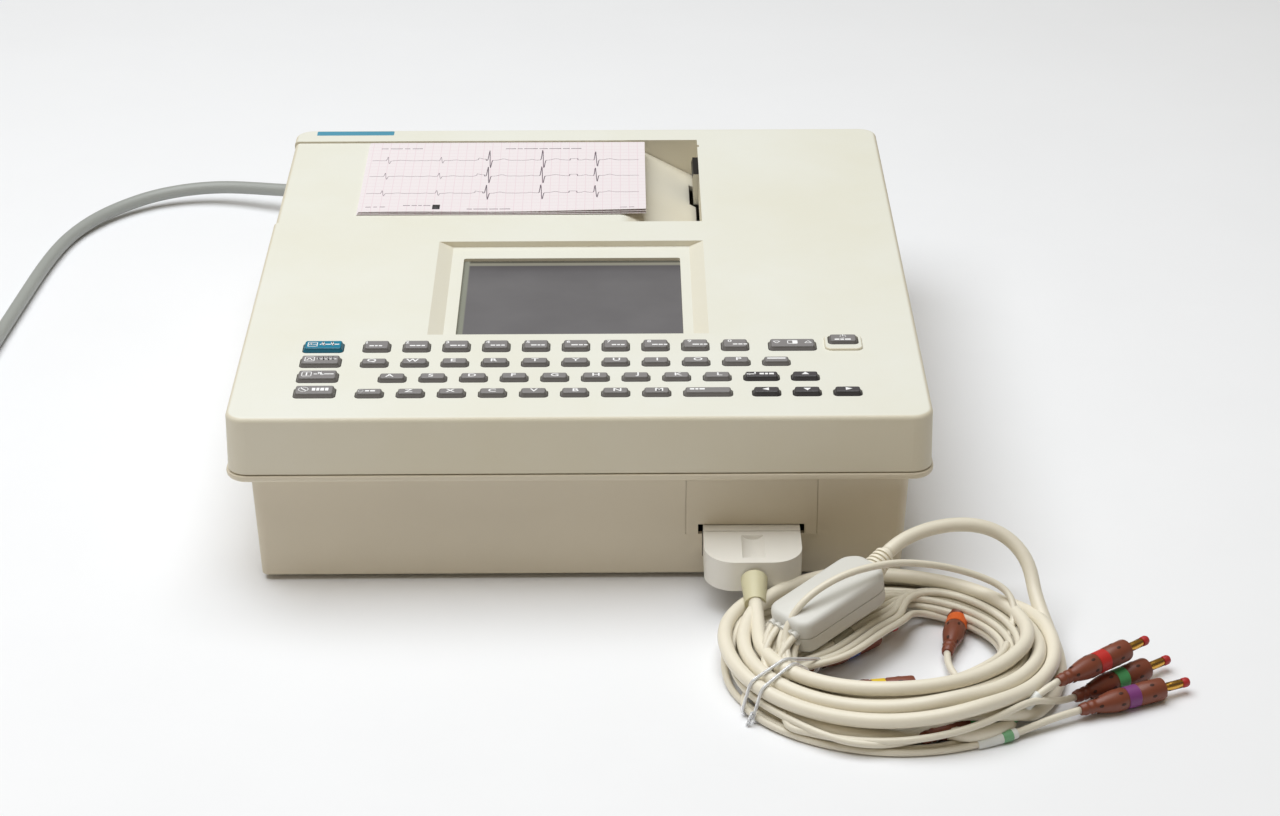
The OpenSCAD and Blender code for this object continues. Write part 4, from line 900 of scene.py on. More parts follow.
# lead, a point near the sleeve's middle, its length and radius in millimetres, finish
SLEEVES = [("violet", (193, -331, 4), 24, 2.5, "white"), ("violet", (197, -329, 4), 6, 2.7, "green"),
           ("red", (206, -314, 5), 20, 2.5, "white"), ("red", (202, -316, 5), 5, 2.7, "green"),
           ("black", (123, -258, 15), 16, 2.4, "grey")]
GRIPS = ((9.6, 3.75, 4), (20.5, 5.36, 6), (37.5, 5.38, 6))   # height, radius and count of finger marks
GRIP_TURN = 7                                 # degrees for each millimetre of height
PIN_SLOT = (4.28, 0.4, 2.6, 10.2)             # width, thickness, and from where to where on the pin of the dark plates that stand in for the slots' painted shade
TIE_ANGLES = (213, 219)
TIE_WIRE = 0.0017
TIE_SLICE = 2.2                               # half thickness of the slice of coil that a loop is drawn round
TIE_REACH = (0.035, 0.085)                    # metres from the coil's middle between which the bundle lies
TWIST_RADIUS, TWIST_TURN, TWIST_POINTS = 0.7, 1.3, 14
TWIST_OUT = (0.4, 0.25)                       # distance from the loop at first, and more at each point
TWIST_DROP, TWIST_TOP, TWIST_LOW = 0.5, 4, 0.8
TWIST_WIRE = 0.0006


def shortcut(ring, begin, aside, up):
    """Bends part of a strand over to the line across the ring, easing in and out."""
    line = resample(SHORTCUT, 2.0)
    ring = list(ring)
    low, high = SHORTCUT_ARC
    for j in range(len(ring)):
        t = (begin + j * RING_STEP - low) / (high - low)
        if 0 < t < 1:
            at = min(int(t * (len(line) - 1)), len(line) - 2)
            along = line[at + 1] - line[at]
            side = Vector((along.y, -along.x, 0)).normalized()
            target = (line[at].lerp(line[at + 1], t * (len(line) - 1) - at) + side * aside
                      + Vector((0, 0, up))) * MM
            ease = min(1, t / SHORTCUT_EASE[0], (1 - t) / SHORTCUT_EASE[1])
            ring[j] = ring[j].lerp(target, ease * ease * (3 - 2 * ease))
    return ring


def plug_obstacles():
    """Where plugs keep the strands off: cross-section, radius, height and half thickness."""
    found = []
    for lead in LEADS[INNER_LEADS:]:
        h = math.radians(lead.heading)
        for step in range(0, PLUG_LENGTH + 2, 2):
            x = lead.end[0] + step * math.cos(h) - RING_CENTRE[0]
            y = lead.end[1] + step * math.sin(h) - RING_CENTRE[1]
            angle = math.degrees(math.atan2(y, x)) % 360
            found.append((int(round(angle / RING_STEP)) % (360 // RING_STEP), math.hypot(x / RING_OVAL, y),
                          PLUG_Z, BODY_HALF if step > COLLAR else COLLAR_HALF))
    return found


def lead_keys(number, start):
    """Angle, radius and height of a lead along its turns, from slot to slot."""
    first, middle, last = LEAD_SLOTS[16 - number], LEAD_SLOTS[number], LEAD_SLOTS[17 + number % 4]
    slots, changes = (first, first, middle, middle, last, last), SLOT_CHANGES
    if number in OUTER_SLOTS:
        slots, changes = (first, first, OUTER_SLOTS[number], OUTER_SLOTS[number]), OUTER_CHANGES
    return [(start + change, *slot) for change, slot in zip(changes, slots)]


def lead_path(number, ring, begin):
    """A lead wire from the block along its ring to its plug."""
    lead = LEADS[number]
    if lead.name == OVERPASS_LEAD:
        first, last = ((angle - begin) // RING_STEP for angle in OVERPASS_ARC)
        ring = ring[:first] + [Vector(p) * MM for p in OVERPASS] + ring[last:]
    if lead.name in SHORTCUT_LEADS:
        ring = shortcut(ring, begin, *SHORTCUT_LEADS[lead.name])
    row, column = divmod(number, BLOCK_COLUMNS)
    face = Vector((BLOCK_FACE, LEAD_PITCH * (column - 2), ROW_PITCH * (0.5 - row))) * MM
    out = MODULE @ face
    away = (MODULE.to_3x3() @ Vector(LEAVE_WAY)).normalized()
    joining = (ring[1] - ring[0]).normalized()
    leaving = (ring[-1] - ring[-2]).normalized()
    plug = Vector(lead.end) * MM
    points = [out] + bend_to(out, away, ring[0], joining, 0.5) + ring \
        + bend_to(ring[-1], leaving, plug, way_of(lead.heading), 0.45) + [plug]
    return relax(resample(points, LEAD_STEP), STIFF_PASSES if lead.name in STIFF_LEADS else LEAD_PASSES)


def patient_paths():
    """Points in metres of the trunk and of the ten lead wires."""
    strands = [strand(TRUNK_KEYS, *TRUNK_ARC, TRUNK_HALF, pinned=True)]
    for number, lead in enumerate(LEADS):
        start = LEAD_STARTS[number % 4]
        strands.append(strand(lead_keys(number, start), start, lead.leave + 360 * lead.turns, LEAD_HALF))
    pack_strands(strands, plug_obstacles())
    rings = [[on_ring(one["start"] + j * RING_STEP, r, z) for j, (r, z) in enumerate(zip(one["r"], one["z"]))]
             for one in strands]
    trunk = [Vector(p) * MM for p in TRUNK_IN] + rings[0][2:-2] + [Vector(p) * MM for p in ARCH]
    paths = [relax(resample(trunk, TRUNK_STEP), TRUNK_PASSES)]
    for number, (one, ring) in enumerate(zip(strands[1:], rings[1:])):
        paths.append(lead_path(number, ring, one["start"]))
    return paths


class RECORDER_OT_junction_block(bpy.types.Operator):
    """Block where the trunk meets the lead wires: rounded body, lead collars and a ribbed boot"""
    bl_idname = "recorder.junction_block"
    bl_label = "Junction block"

    def execute(self, context):
        sizes, colours = context.scene.recorder_cables, context.scene.recorder_colours
        shell = moulded("block_grey", linear(214, 213, 208), 0.42, grain=0.12, shade=0.06)
        cream = moulded("block_boot", colours.cable, 0.45, grain=0.12, shade=0.08)
        outline = [q * MM for q in rounded(BLOCK_OUTLINE, BLOCK_CORNER)]
        chunks = [(*placed(loft(outline, scaled(BLOCK_LEVELS)), MODULE), shell)]
        face = MODULE @ moved(BLOCK_FACE - 0.6, 0, 0) @ rotated(90, "Z") @ rotated(90, "X")
        chunks.append((*placed(grown(collar_tree(), shell), face), shell))
        boot = MODULE @ moved(27, 0, 2) @ rotated(12, "Z") @ rotated(82, "Y")
        chunks.append((*revolve(scaled(BOOT_CORE), boot, 28), cream))
        ribs = grown(rib_tree(), cream, Count=sizes.ribs, Pitch=0.0026, Width=0.0014, First_Radius=0.0062,
                     Last_Radius=0.005)
        chunks.append((*placed(ribs, boot @ moved(0, 0, 0.8)), cream))
        block = assemble("junction_block", chunks, 38)
        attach(block, "case")
        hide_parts("lead_module")
        return {"FINISHED"}


class RECORDER_OT_lead_plugs(bpy.types.Operator):
    """Ten lead plugs: brown body with finger marks darkened with painted shade and a coloured band, slotted
    pin whose slots are dark plates of painted shade, with a red tip
    """
    bl_idname = "recorder.lead_plugs"
    bl_label = "Lead plugs"

    def execute(self, context):
        colours = context.scene.recorder_colours
        brown = moulded("plug_brown", colours.plugs, 0.4, grain=0.12, grain_scale=1100, shade=0.2)
        # painted shade: the finger marks are drawn dark brown to stand in for the shade inside hollows
        hollow_shade = moulded("plug_hollow_shade", tuple(c * 0.25 for c in colours.plugs), 0.6, shade=0.2)
        gold = moulded("pin_gold", linear(222, 172, 84), 0.24, grain_scale=2600, shade=0.12, metallic=1.0)
        # painted shade: each slot is a thin dark plate across the pin
        slot = moulded("pin_slot_shade", linear(70, 46, 20), 0.6)
        tip = moulded("pin_tip_red", linear(178, 44, 46), 0.45)
        ovals = dimple_tree()
        width, thick, low, high = (size * MM for size in PIN_SLOT)
        for lead in LEADS:
            place = moved(*lead.end) @ rotated(lead.heading, "Z") @ rotated(90, "Y")
            colour = moulded("plug_band_" + lead.name, lead.band, 0.45, shade=0.12)
            chunks = [self.turned(PLUG_PROFILE, place, brown), self.turned(BAND_PROFILE, place, colour)]
            for height, radius, count in GRIPS:
                marks = grown(ovals, hollow_shade, Count=count, Radius=radius * MM)
                spot = place @ moved(0, 0, height) @ rotated(height * GRIP_TURN, "Z")
                chunks.append((*placed(marks, spot), hollow_shade))
            piece = assemble("lead_plug_" + lead.name, chunks, 40)
            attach(piece, "case")
            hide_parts("lead_plugs")
            nose = place @ moved(0, 0, PLUG_BODY)
            chunks = [self.turned(PIN_PROFILE, nose, gold, 20), self.turned(TIP_PROFILE, nose, tip, 20)]
            for angle in (45, 135):
                outline = rectangle(-width / 2, -thick / 2, width / 2, thick / 2)
                chunks.append((*plates([outline], low, high, nose @ rotated(angle, "Z")), slot))
            pin = assemble("lead_pin_" + lead.name, chunks, 40)
            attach(pin, "case")
            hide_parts("lead_pins")
        return {"FINISHED"}

    def turned(self, profile, place, material, sides=28):
        return (*revolve(scaled(profile), place, sides), material)


class RECORDER_OT_patient_cable(bpy.types.Operator):
    """Trunk cable and ten lead wires, coiled beside the case, with their sleeves and the clear tie"""
    bl_idname = "recorder.patient_cable"
    bl_label = "Patient cable"

    def execute(self, context):
        sizes, colours = context.scene.recorder_cables, context.scene.recorder_colours
        jacket = moulded("trunk_jacket", colours.cable, 0.4, grain=0.1, grain_scale=700, shade=0.1)
        thin = moulded("lead_jacket", tuple(c * 0.95 for c in colours.cable), 0.38, grain=0.08,
                       grain_scale=900, shade=0.12)
        paths = patient_paths()
        trunk = join_parts("trunk", [tube(paths[0], sizes.trunk / 2, sizes.sides)], jacket)
        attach(trunk, "case")
        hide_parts("trunk_cable", "cable_coil")
        sleeves = self.sleeves({lead.name: path for lead, path in zip(LEADS, paths[1:])})
        for lead, path in zip(LEADS, paths[1:]):
            wire = join_parts("lead_wire_" + lead.name, [tube(path, sizes.lead / 2, 10)], thin)
            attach(wire, "case")
            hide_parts("lead_wires", "cable_coil")
        self.tie(paths, sizes)
        return {"FINISHED"}

    def sleeves(self, paths):
        """Marker sleeves on some leads, each a stretch of tube round the wire."""
        finishes = {"white": moulded("sleeve_white", linear(226, 228, 226), 0.3, shade=0.08),
                    "green": moulded("sleeve_green", linear(120, 176, 132), 0.4, shade=0.15),
                    "grey": moulded("sleeve_grey", linear(176, 172, 156), 0.4, shade=0.08)}
        made = {}
        for number, (name, middle, length, radius, finish) in enumerate(SLEEVES):
            run = [0.0]
            path = paths[name]
            for a, b in zip(path, path[1:]):
                run.append(run[-1] + (b - a).length)
            near = min(range(len(path)), key=lambda i: (path[i] - Vector(middle) * MM).length)
            stretch = [q for q, at in zip(path, run) if abs(at - run[near]) <= length / 2 * MM]
            piece = join_parts("sleeve_%d" % number, [tube(stretch, radius * MM, 16)], finishes[finish])
            sharpen(piece, 40)
            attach(piece, "case")
            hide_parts("lead_wires")
            made.setdefault(name, []).append(piece)
        return made

    def tie(self, paths, sizes):
        """Two clear loops drawn round the bundle, twisted together on its outer side."""
        clear = moulded("tie_clear", linear(236, 238, 243), 0.16, shade=0.05, Transmission_Weight=0.5)
        chunks = []
        centre = Vector((RING_CENTRE[0] - RING_STRETCH, RING_CENTRE[1], 0)) * MM
        round_wire = [(math.cos(k * math.pi / 8), math.sin(k * math.pi / 8)) for k in range(16)]
        for angle in TIE_ANGLES:
            way = way_of(angle)
            across = Vector((-way.y, way.x, 0))
            around = []
            for number, path in enumerate(paths):
                radius = (sizes.lead if number else sizes.trunk) / 2 + TIE_WIRE / 2
                for q in path:
                    out, aside = (q - centre).dot(way), (q - centre).dot(across)
                    if abs(aside) < TIE_SLICE * MM and TIE_REACH[0] < out < TIE_REACH[1]:
                        around.extend([(out + radius * c, q.z + radius * s) for c, s in round_wire])
            hull = [Vector(around[i]) for i in convex_hull_2d(around)]
            loop = [centre + way * q.x + Vector((0, 0, max(q.y, TIE_WIRE / 2)))
                    for q in rounded(hull, 0.004, 3)]
            chunks.append((*tube(relax(resample(loop + [loop[0]], 0.0015), 1), TIE_WIRE / 2, 10), clear))
        outer = max(loop, key=lambda q: (q - centre).dot(way))
        for side in (-1, 1):
            twist = []
            for t in range(TWIST_POINTS):
                a = t * TWIST_TURN
                rise = TWIST_RADIUS * side * math.sin(a) - TWIST_DROP * t + TWIST_TOP
                spot = outer + (way * (TWIST_OUT[0] + TWIST_OUT[1] * t)
                                + across * (side * TWIST_RADIUS * math.cos(a)) + Vector((0, 0, rise))) * MM
                spot.z = max(spot.z, TWIST_LOW * MM)
                twist.append(spot)
            chunks.append((*tube(resample(twist, 0.0008), TWIST_WIRE, 8), clear))
        piece = assemble("cable_tie", chunks)
        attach(piece, "case")
        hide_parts("coil_tie")


# ---------- key legends ----------

ROW_LETTERS = {"digit_keys": "1234567890", "upper_row_keys": "QWERTYUIOP", "home_row_keys": "ASDFGHJKL",
               "lower_row_keys": " ZXCVBNM"}
KEY_W = 13.8                                  # width of a letter key
CAP_TOP = 99.2                                # height of a cap's flat top
RAISED_CAP_TOPS = {"standby_key": 99.8}
STROKE = 0.42
INK_T = 0.06
DIGIT_PLACE = (-3.9, 1.9)                     # of a digit on its key, whose sign is a row of bars
DIGIT_SIZE, LETTER_SIZE = (3.6, 1.2, 0.05), (4.4, 1.35, 0.06)   # size, width and weight


def centre_of(node):
    low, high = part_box(node)
    return (low[0] + high[0]) / 2 / MM, (low[1] + high[1]) / 2 / MM


def key_centres(node, count):
    """Centres of the keys of one row, from the row's box."""
    low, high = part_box(node)
    left, right = low[0] / MM + KEY_W / 2, high[0] / MM - KEY_W / 2
    return [(left + (right - left) * i / (count - 1), (low[1] + high[1]) / 2 / MM) for i in range(count)]


def letter(text, x, y, size, wide, bold):
    """A printed letter or digit as a thin closed mesh, centred on a point of a cap's top."""
    curve = bpy.data.curves.new("letter", "FONT")
    curve.body = text
    curve.size = size
    curve.align_x, curve.align_y = "CENTER", "CENTER"
    curve.extrude = INK_T / 2
    curve.offset = bold
    curve.resolution_u = 3
    holder = bpy.data.objects.new("letter", curve)
    bpy.context.scene.collection.objects.link(holder)
    bpy.context.view_layer.update()
    mesh = bpy.data.meshes.new_from_object(holder.evaluated_get(bpy.context.evaluated_depsgraph_get()))
    bpy.data.objects.remove(holder)
    spots = [v.co for v in mesh.vertices]
    middle = [(min(q[axis] for q in spots) + max(q[axis] for q in spots)) / 2 for axis in (0, 1)]
    place = Matrix.Diagonal((MM, MM, MM, 1)) @ Matrix.Translation((x, y, CAP_TOP + INK_T / 2)) \
        @ Matrix.Diagonal((wide, 1, 1, 1)) @ Matrix.Translation((-middle[0], -middle[1], 0))
    return placed((spots, [tuple(f.vertices) for f in mesh.polygons]), place)


def pulse(x, width, height, beats=1):
    """Points of a heart trace with its spikes."""
    points = [(x, 0)]
    for beat in range(beats):
        at = x + width * (beat + 0.35) / beats
        unit = width / beats
        points += [(at - 0.16 * unit, 0), (at - 0.06 * unit, height), (at + 0.06 * unit, -0.5 * height),
                   (at + 0.14 * unit, 0)]
    return points + [(x + width, 0)]


def outlined(corners, width=STROKE):
    """A closed outline drawn with a line."""
    return ribbon(corners + corners[:1], width)


def arc(x, y, radius, start, end, steps=14):
    angles = [math.radians(start + (end - start) * i / steps) for i in range(steps + 1)]
    return [(x + radius * math.cos(a), y + radius * math.sin(a)) for a in angles]


def triangle(x, y, size, turn):
    """Corners of a slightly flattened triangle that points the way of the turn."""
    angles = [math.radians(turn + 120 * i) for i in range(3)]
    return [(x + size * math.cos(a), y + 0.8 * size * math.sin(a)) for a in angles]


def dashes(x, y, lengths, height=0.75, gap=0.5):
    """A row of short bars in the place of a printed word."""
    bars = []
    for length in lengths:
        bars.append(rectangle(x, y - height / 2, x + length, y + height / 2))
        x += length + gap
    return bars


def key_glyphs():
    """Outlines of each single key's generic sign, about the key's centre."""
    ring = ribbon(arc(-5.4, 0, 2.4, 0, 360), STROKE)
    square = outlined(rectangle(-7.7, -2.3, -3.1, 2.3))
    marks = [(-6.7, -1.1), (-5.4, 1.2), (-4.1, -1.1)]
    return {
        "ecg_key": square + ribbon(pulse(-7.2, 3.6, 1.5), 0.5) + ribbon(pulse(-1.6, 9.4, 2.7, 2), 0.85),
        "rhythm_key": square + ribbon(marks, 0.5) + ribbon(pulse(-1.6, 9.4, 2.3, 4), 0.8),
        "manual_key": square + ribbon([(-5.4, -1.4), (-5.4, 1.4)], 0.7)
        + ribbon(pulse(-1.6, 9.4, 2.7, 1), 0.85),
        "stop_key": ring + ribbon([(-7, 1.6), (-3.8, -1.6)], 0.6)
        + dashes(-1.2, 0, (1.7, 1.4, 1.8, 1.6), 3, 0.55),
        "enter_key": ribbon([(-3.2, 1.6), (-3.2, -0.3), (-6.4, -0.3)], 0.7)
        + [triangle(-6.4, -0.3, 1.5, 180)] + dashes(-1, 0, (2.2, 1.5, 2.4), 1.6),
        "bar_key": [rectangle(-4.6, -0.2, 4.6, 1.1)],
        "space_key": dashes(-9, 0.4, (2.2, 1.5, 2.6), 1.5),
        "contrast_key": outlined(triangle(-8, 0.6, 2.1, 270)) + outlined(triangle(8, 0, 2.1, 90))
        + outlined(rectangle(-2.4, -1.6, 2.4, 2)) + [rectangle(0, -1.4, 2.2, 1.8)],
        "standby_key": ribbon(arc(0, 1.1, 1.5, 125, 415), STROKE) + ribbon([(0, 1.2), (0, 3)], STROKE)
        + dashes(-4.4, -2.4, (2.4, 1.8, 3), 1.4),
        "up_key": [triangle(0, 0, 2.2, 90)], "down_key": [triangle(0, 0, 2.2, 270)],
        "left_key": [triangle(0, 0, 2.2, 180)], "right_key": [triangle(0, 0, 2.2, 0)],
        "lower_row_keys": ribbon(arc(-3, 0, 1.2, 0, 360), STROKE) + dashes(-0.8, 0, (2, 2.4), 1.4)}


class RECORDER_OT_key_legends(bpy.types.Operator):
    """Letters, digits and generic signs printed on the keys"""
    bl_idname = "recorder.key_legends"
    bl_label = "Key legends"

    def execute(self, context):
        self.ink = moulded("legend_ink", linear(246, 246, 248), 0.5, shade=0.03)
        prints = {}
        for node, outlines in key_glyphs().items():
            x, y = centre_of(node)
            if node in ROW_LETTERS:
                x, y = key_centres(node, len(ROW_LETTERS[node]))[0]
            prints[node] = [self.sign(outlines, x, y, RAISED_CAP_TOPS.get(node, CAP_TOP))]
        for node, letters in ROW_LETTERS.items():
            chunks = prints.setdefault(node, [])
            for number, ((x, y), text) in enumerate(zip(key_centres(node, len(letters)), letters)):
                if node == "digit_keys":
                    aside, up = DIGIT_PLACE
                    chunks.append((*letter(text, x + aside, y + up, *DIGIT_SIZE), self.ink))
                    lengths = (2.3 + number % 3 * 0.5, 1.4 + number % 2 * 0.7, 1.8)
                    chunks.append(self.sign(dashes(-2.4, -1.9, lengths, 1.1, 0.5), x, y, CAP_TOP))
                elif text.strip():
                    chunks.append((*letter(text, x, y, *LETTER_SIZE), self.ink))
        for node, chunks in prints.items():
            piece = assemble("legend_" + node, chunks, 30)
            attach(piece, BODY_OF_NODE[node])
        return {"FINISHED"}

    def sign(self, outlines, x, y, top):
        """Printed outlines about a point of a cap's top."""
        place = Matrix.Diagonal((MM, MM, MM, 1)) @ Matrix.Translation((x, y, 0))
        return (*plates(outlines, top, top + INK_T, place), self.ink)


# ---------- chart, strip and display ----------

SHEETS = 3
SHEET_T = 0.22
SHEET_BASE = 0.1                              # of the lowest sheet above the node's box
SHEET_RISE = 0.55                             # from sheet to sheet, and of the bow as well
SHEET_BOW = 0.45                              # of the lowest sheet's front edge
SHEET_STEP = 0.4                              # how far in a sheet's left and front edges lie from the last's
SHEET_CELLS = (48, 30)
TRACE_ROWS = (139, 115, 89.5)                 # distance of each trace's base line from the middle
ROW_SHARES = (1, 0.92, 0.8)                   # height of each row's beats
BEATS = ((-115, 6), (-84, 5.5), (-56, 15), (-25, 16), (6, 13.5))
CALIBRATION = (-62.5, -9)                     # starts of the square steps
STEP_WIDTH, STEP_HEIGHT = 4.5, 2.2
TRACE_SPAN, TRACE_POINTS = (-124, 31), 0.3    # from where to where, and millimetres between points
# each wave of a beat: its share of the beat's height, its place from the beat and its width
WAVES = ((0.09, -6, 1.6), (0.14, 8, 2.6), (1, -0.2, 0.45), (-0.75, 1.0, 0.5))
STEEP = 0.35                                  # rise between points past which the trace is drawn dark
DARK_FROM = BEATS[2][0] - 4
DARK_LINE, FAINT_LINE = 0.48, 0.3
MARK = (-85.4, 66, -81.2, 72.6)
# left end, distance from the middle, lengths, height and gap of each row of bars
PRINTED_ROWS = ((-47, 157, (6, 3, 8, 5, 7, 4, 6), 0.8, 0.9), (-120, 157.6, (4, 7, 3, 6), 0.7, 1.4),
                (-123, 69.6, (3, 2, 3), 0.7, 1.5), (-102, 71.5, (4, 3, 2, 4), 0.7, 0.8),
                (-66, 66.4, (3, 8, 5, 6), 0.8, 0.8), (20, 65.8, (4, 3), 0.6, 1))


def sheet_height(number, x, y, low, high):
    """Height of a sheet's underside: it bows along its front edge and lifts at the front right corner."""
    u, v = (x - low.x) / (high.x - low.x), (y - low.y) / (high.y - low.y)
    front = (1 - v) ** 3
    bow = front * (0.25 + 0.9 * u ** 4) + 0.12 * math.sin(3 * math.pi * u) * front
    return low.z + SHEET_BASE + number * SHEET_RISE + (SHEET_BOW + SHEET_RISE * number) * bow


def trace(row, base):
    """A trace with a small wave before each beat's spike and a broad one after it."""
    points = []
    x, end = TRACE_SPAN
    while x < end:
        rise = 0.15 * math.sin(x * 0.9 + row)
        for at, tall in BEATS:
            for share, place, width in WAVES:
                rise += share * tall * ROW_SHARES[row] * math.exp(-((x - at - place) / width) ** 2)
        rise += sum(STEP_HEIGHT for at in CALIBRATION if 0 <= x - at <= STEP_WIDTH)
        points.append((x, base + rise))
        x += TRACE_POINTS
    return points


class RECORDER_OT_chart(bpy.types.Operator):
    """Folded chart sheets on the cover, with generic traces printed on the top one"""
    bl_idname = "recorder.chart"
    bl_label = "Chart"

    def execute(self, context):
        colours = context.scene.recorder_colours
        low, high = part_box("printed_page")
        low, high = Vector(low) / MM, Vector(high) / MM
        paper = grid_paper("chart_paper", colours.paper, colours.grid)
        chunks = [(*self.sheet(low, high, number), paper) for number in range(SHEETS)]
        page = assemble("chart_sheets", chunks, 50)
        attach(page, "cover")
        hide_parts("printed_page")
        ink = moulded("trace_ink", linear(116, 102, 114), 0.6, shade=0.1)
        faint = moulded("header_ink", linear(150, 138, 148), 0.6, shade=0.1)
        black = moulded("mark_ink", linear(58, 56, 60), 0.6, shade=0.1)
        chunks = []
        for row, base in enumerate(TRACE_ROWS):
            points = trace(row, base)
            steep = [abs(b[1] - a[1]) > STEEP and a[0] > DARK_FROM for a, b in zip(points, points[1:])]
            for tall, width, finish in ((True, DARK_LINE, ink), (False, FAINT_LINE, faint)):
                strips = [q for q, s in zip(ribbon(points, width), steep) if s == tall]
                chunks.append((*self.printed(strips, low, high), finish))
        bars = [bar for printed_row in PRINTED_ROWS for bar in dashes(*printed_row)]
        chunks.append((*self.printed(bars, low, high), faint))
        chunks.append((*self.printed([rectangle(*MARK)], low, high), black))
        prints = assemble("chart_traces", chunks)
        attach(prints, "cover")
        return {"FINISHED"}

    def sheet(self, low, high, number):
        """One sheet as a closed thin grid."""
        columns, rows = SHEET_CELLS
        left, front = low.x + number * SHEET_STEP, low.y + number * SHEET_STEP
        vertices, faces = [], []
        for side in (0, 1):
            for j in range(rows + 1):
                for i in range(columns + 1):
                    x = left + (high.x - left) * i / columns
                    y = front + (high.y - front) * j / rows
                    z = sheet_height(number, x, y, low, high) + side * SHEET_T
                    vertices.append(Vector((x, y, z)) * MM)
        wide = columns + 1
        layer = wide * (rows + 1)
        for j in range(rows):
            for i in range(columns):
                a = j * wide + i
                faces.append((a, a + wide, a + wide + 1, a + 1))
                faces.append((layer + a, layer + a + 1, layer + a + wide + 1, layer + a + wide))
        for i in range(columns):
            a, b = i, rows * wide + i
            faces.append((a, a + 1, layer + a + 1, layer + a))
            faces.append((b + 1, b, layer + b, layer + b + 1))
        for j in range(rows):
            a, b = j * wide, j * wide + columns
            faces.append((a + wide, a, layer + a, layer + a + wide))
            faces.append((b, b + wide, layer + b + wide, layer + b))
        return vertices, faces

    def printed(self, outlines, low, high):
        """Thin closed strips that follow the top sheet, sunk into it a little."""
        vertices, faces = plates(outlines, -0.05, 0.06)
        for v in vertices:
            v.z += sheet_height(SHEETS - 1, v.x, v.y, low, high) + SHEET_T
        return [v * MM for v in vertices], faces


GRID_LINES = ((0.001, 0.2, 0.08), (0.005, 0.1, 0.3))   # pitch in metres, share inked, strength


def grid_paper(name, colour, line):
    """Paper with a printed grid: fine lines 1 mm apart and stronger ones 5 mm apart."""
    material = moulded(name, colour, 0.68, grain=0.1, grain_scale=2200, shade=0.02)
    base = material.node_tree.nodes["Principled BSDF"].inputs["Base Color"]
    place = add_node(material, "ShaderNodeTexCoord")
    axes = split_vector(material, place.outputs["Object"])
    ink = None
    for pitch, width, strength in GRID_LINES:
        for axis in ("X", "Y"):
            count = math_node(material, "DIVIDE", axes[axis], pitch)
            part = math_node(material, "FRACT", count)
            here = math_node(material, "LESS_THAN", part, width)
            dose = math_node(material, "MULTIPLY", here, strength)
            ink = dose if ink is None else math_node(material, "MAXIMUM", ink, dose)
    material.node_tree.links.new(mixed(material, ink, base.links[0].from_socket, (*line, 1)), base)
    return material


def math_node(material, operation, first, second=None):
    node = material.node_tree.nodes.new("ShaderNodeMath")
    node.operation = operation
    material.node_tree.links.new(first, node.inputs[0])
    if isinstance(second, (int, float)):
        node.inputs[1].default_value = second
    elif second is not None:
        material.node_tree.links.new(second, node.inputs[1])
    return node.outputs[0]


PANE_LAP = 0.004                              # how far the pane runs under its frame
PANE_FADE = 0.03                              # from its rear edge to its plain field
PANE_EDGE = (0.0036, 0.0028)                  # from where to where the module's left edge shows
# colours from the rear edge forward: a dark band of painted shadow under the rear bezel, a pale band, then
# the field, lighter towards the front
PANE_STOPS = ((0.0, (66, 64, 58)), (0.075, (72, 70, 62)), (0.1, (136, 134, 122)),
              (0.19, (130, 128, 118)), (0.22, (72, 70, 77)), (0.5, (90, 89, 95)), (1.0, (100, 99, 104)))
PANE_HAZE = 0.05


def pane_with_painted_shadow(name):
    """Display pane: grey field with a painted shadow under the rear bezel, a pale band in front of it and a
    field that lightens towards the front, with the module's pale edge at the left.
    """
    low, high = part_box("display_window")
    material = new_material(name, linear(112, 112, 116), 0.16, Coat_Weight=0.3)
    tree = material.node_tree
    place = add_node(material, "ShaderNodeTexCoord")
    axes = split_vector(material, place.outputs["Object"])
    rear, left = high[1] - PANE_LAP, low[0] + PANE_LAP
    depth = add_node(material, "ShaderNodeMapRange", From_Min=rear, From_Max=rear - PANE_FADE)
    tree.links.new(axes["Y"], depth.inputs["Value"])
    ramp = add_node(material, "ShaderNodeValToRGB")
    while len(ramp.color_ramp.elements) < len(PANE_STOPS):
        ramp.color_ramp.elements.new(0.5)
    for element, (at, colour) in zip(ramp.color_ramp.elements, PANE_STOPS):
        element.position = at
        element.color = (*linear(*colour), 1)
    tree.links.new(depth.outputs[0], ramp.inputs["Fac"])
    edge = add_node(material, "ShaderNodeMapRange", From_Min=left + PANE_EDGE[0],
                    From_Max=left + PANE_EDGE[1])
    tree.links.new(axes["X"], edge.inputs["Value"])
    edged = mixed(material, edge.outputs[0], ramp.outputs["Color"], (*linear(134, 137, 126), 1))
    streaks = add_node(material, "ShaderNodeTexNoise", Scale=30.0, Detail=3.0)
    tree.links.new(place.outputs["Object"], streaks.inputs["Vector"])
    hazed = mixed(material, PANE_HAZE, edged, streaks.outputs["Fac"])
    tree.links.new(hazed, tree.nodes["Principled BSDF"].inputs["Base Color"])
    return material


STRIP = (-160.1, 180.4, -114.4, 186.5)
STRIP_LEVELS = ((96.96, 0), (97.12, 0), (97.2, 0.12))


class RECORDER_OT_strip(bpy.types.Operator):
    """Plain blue strip on the rear of the case"""
    bl_idname = "recorder.strip"
    bl_label = "Blue strip"

    def execute(self, context):
        blue = moulded("strip_blue", linear(78, 152, 180), 0.35, grain_scale=1600, shade=0.1)
        outline = [q * MM for q in rounded(rectangle(*STRIP), 0.8)]
        strip = assemble("blue_strip", [(*loft(outline, scaled(STRIP_LEVELS)), blue)], 30)
        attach(strip, "case")
        return {"FINISHED"}


# ---------- latch spring ----------

SPRING_TURNS = 5
SPRING_WIRE = 0.3                             # radius of the wire
SPRING_POINTS = 20                            # points of one turn


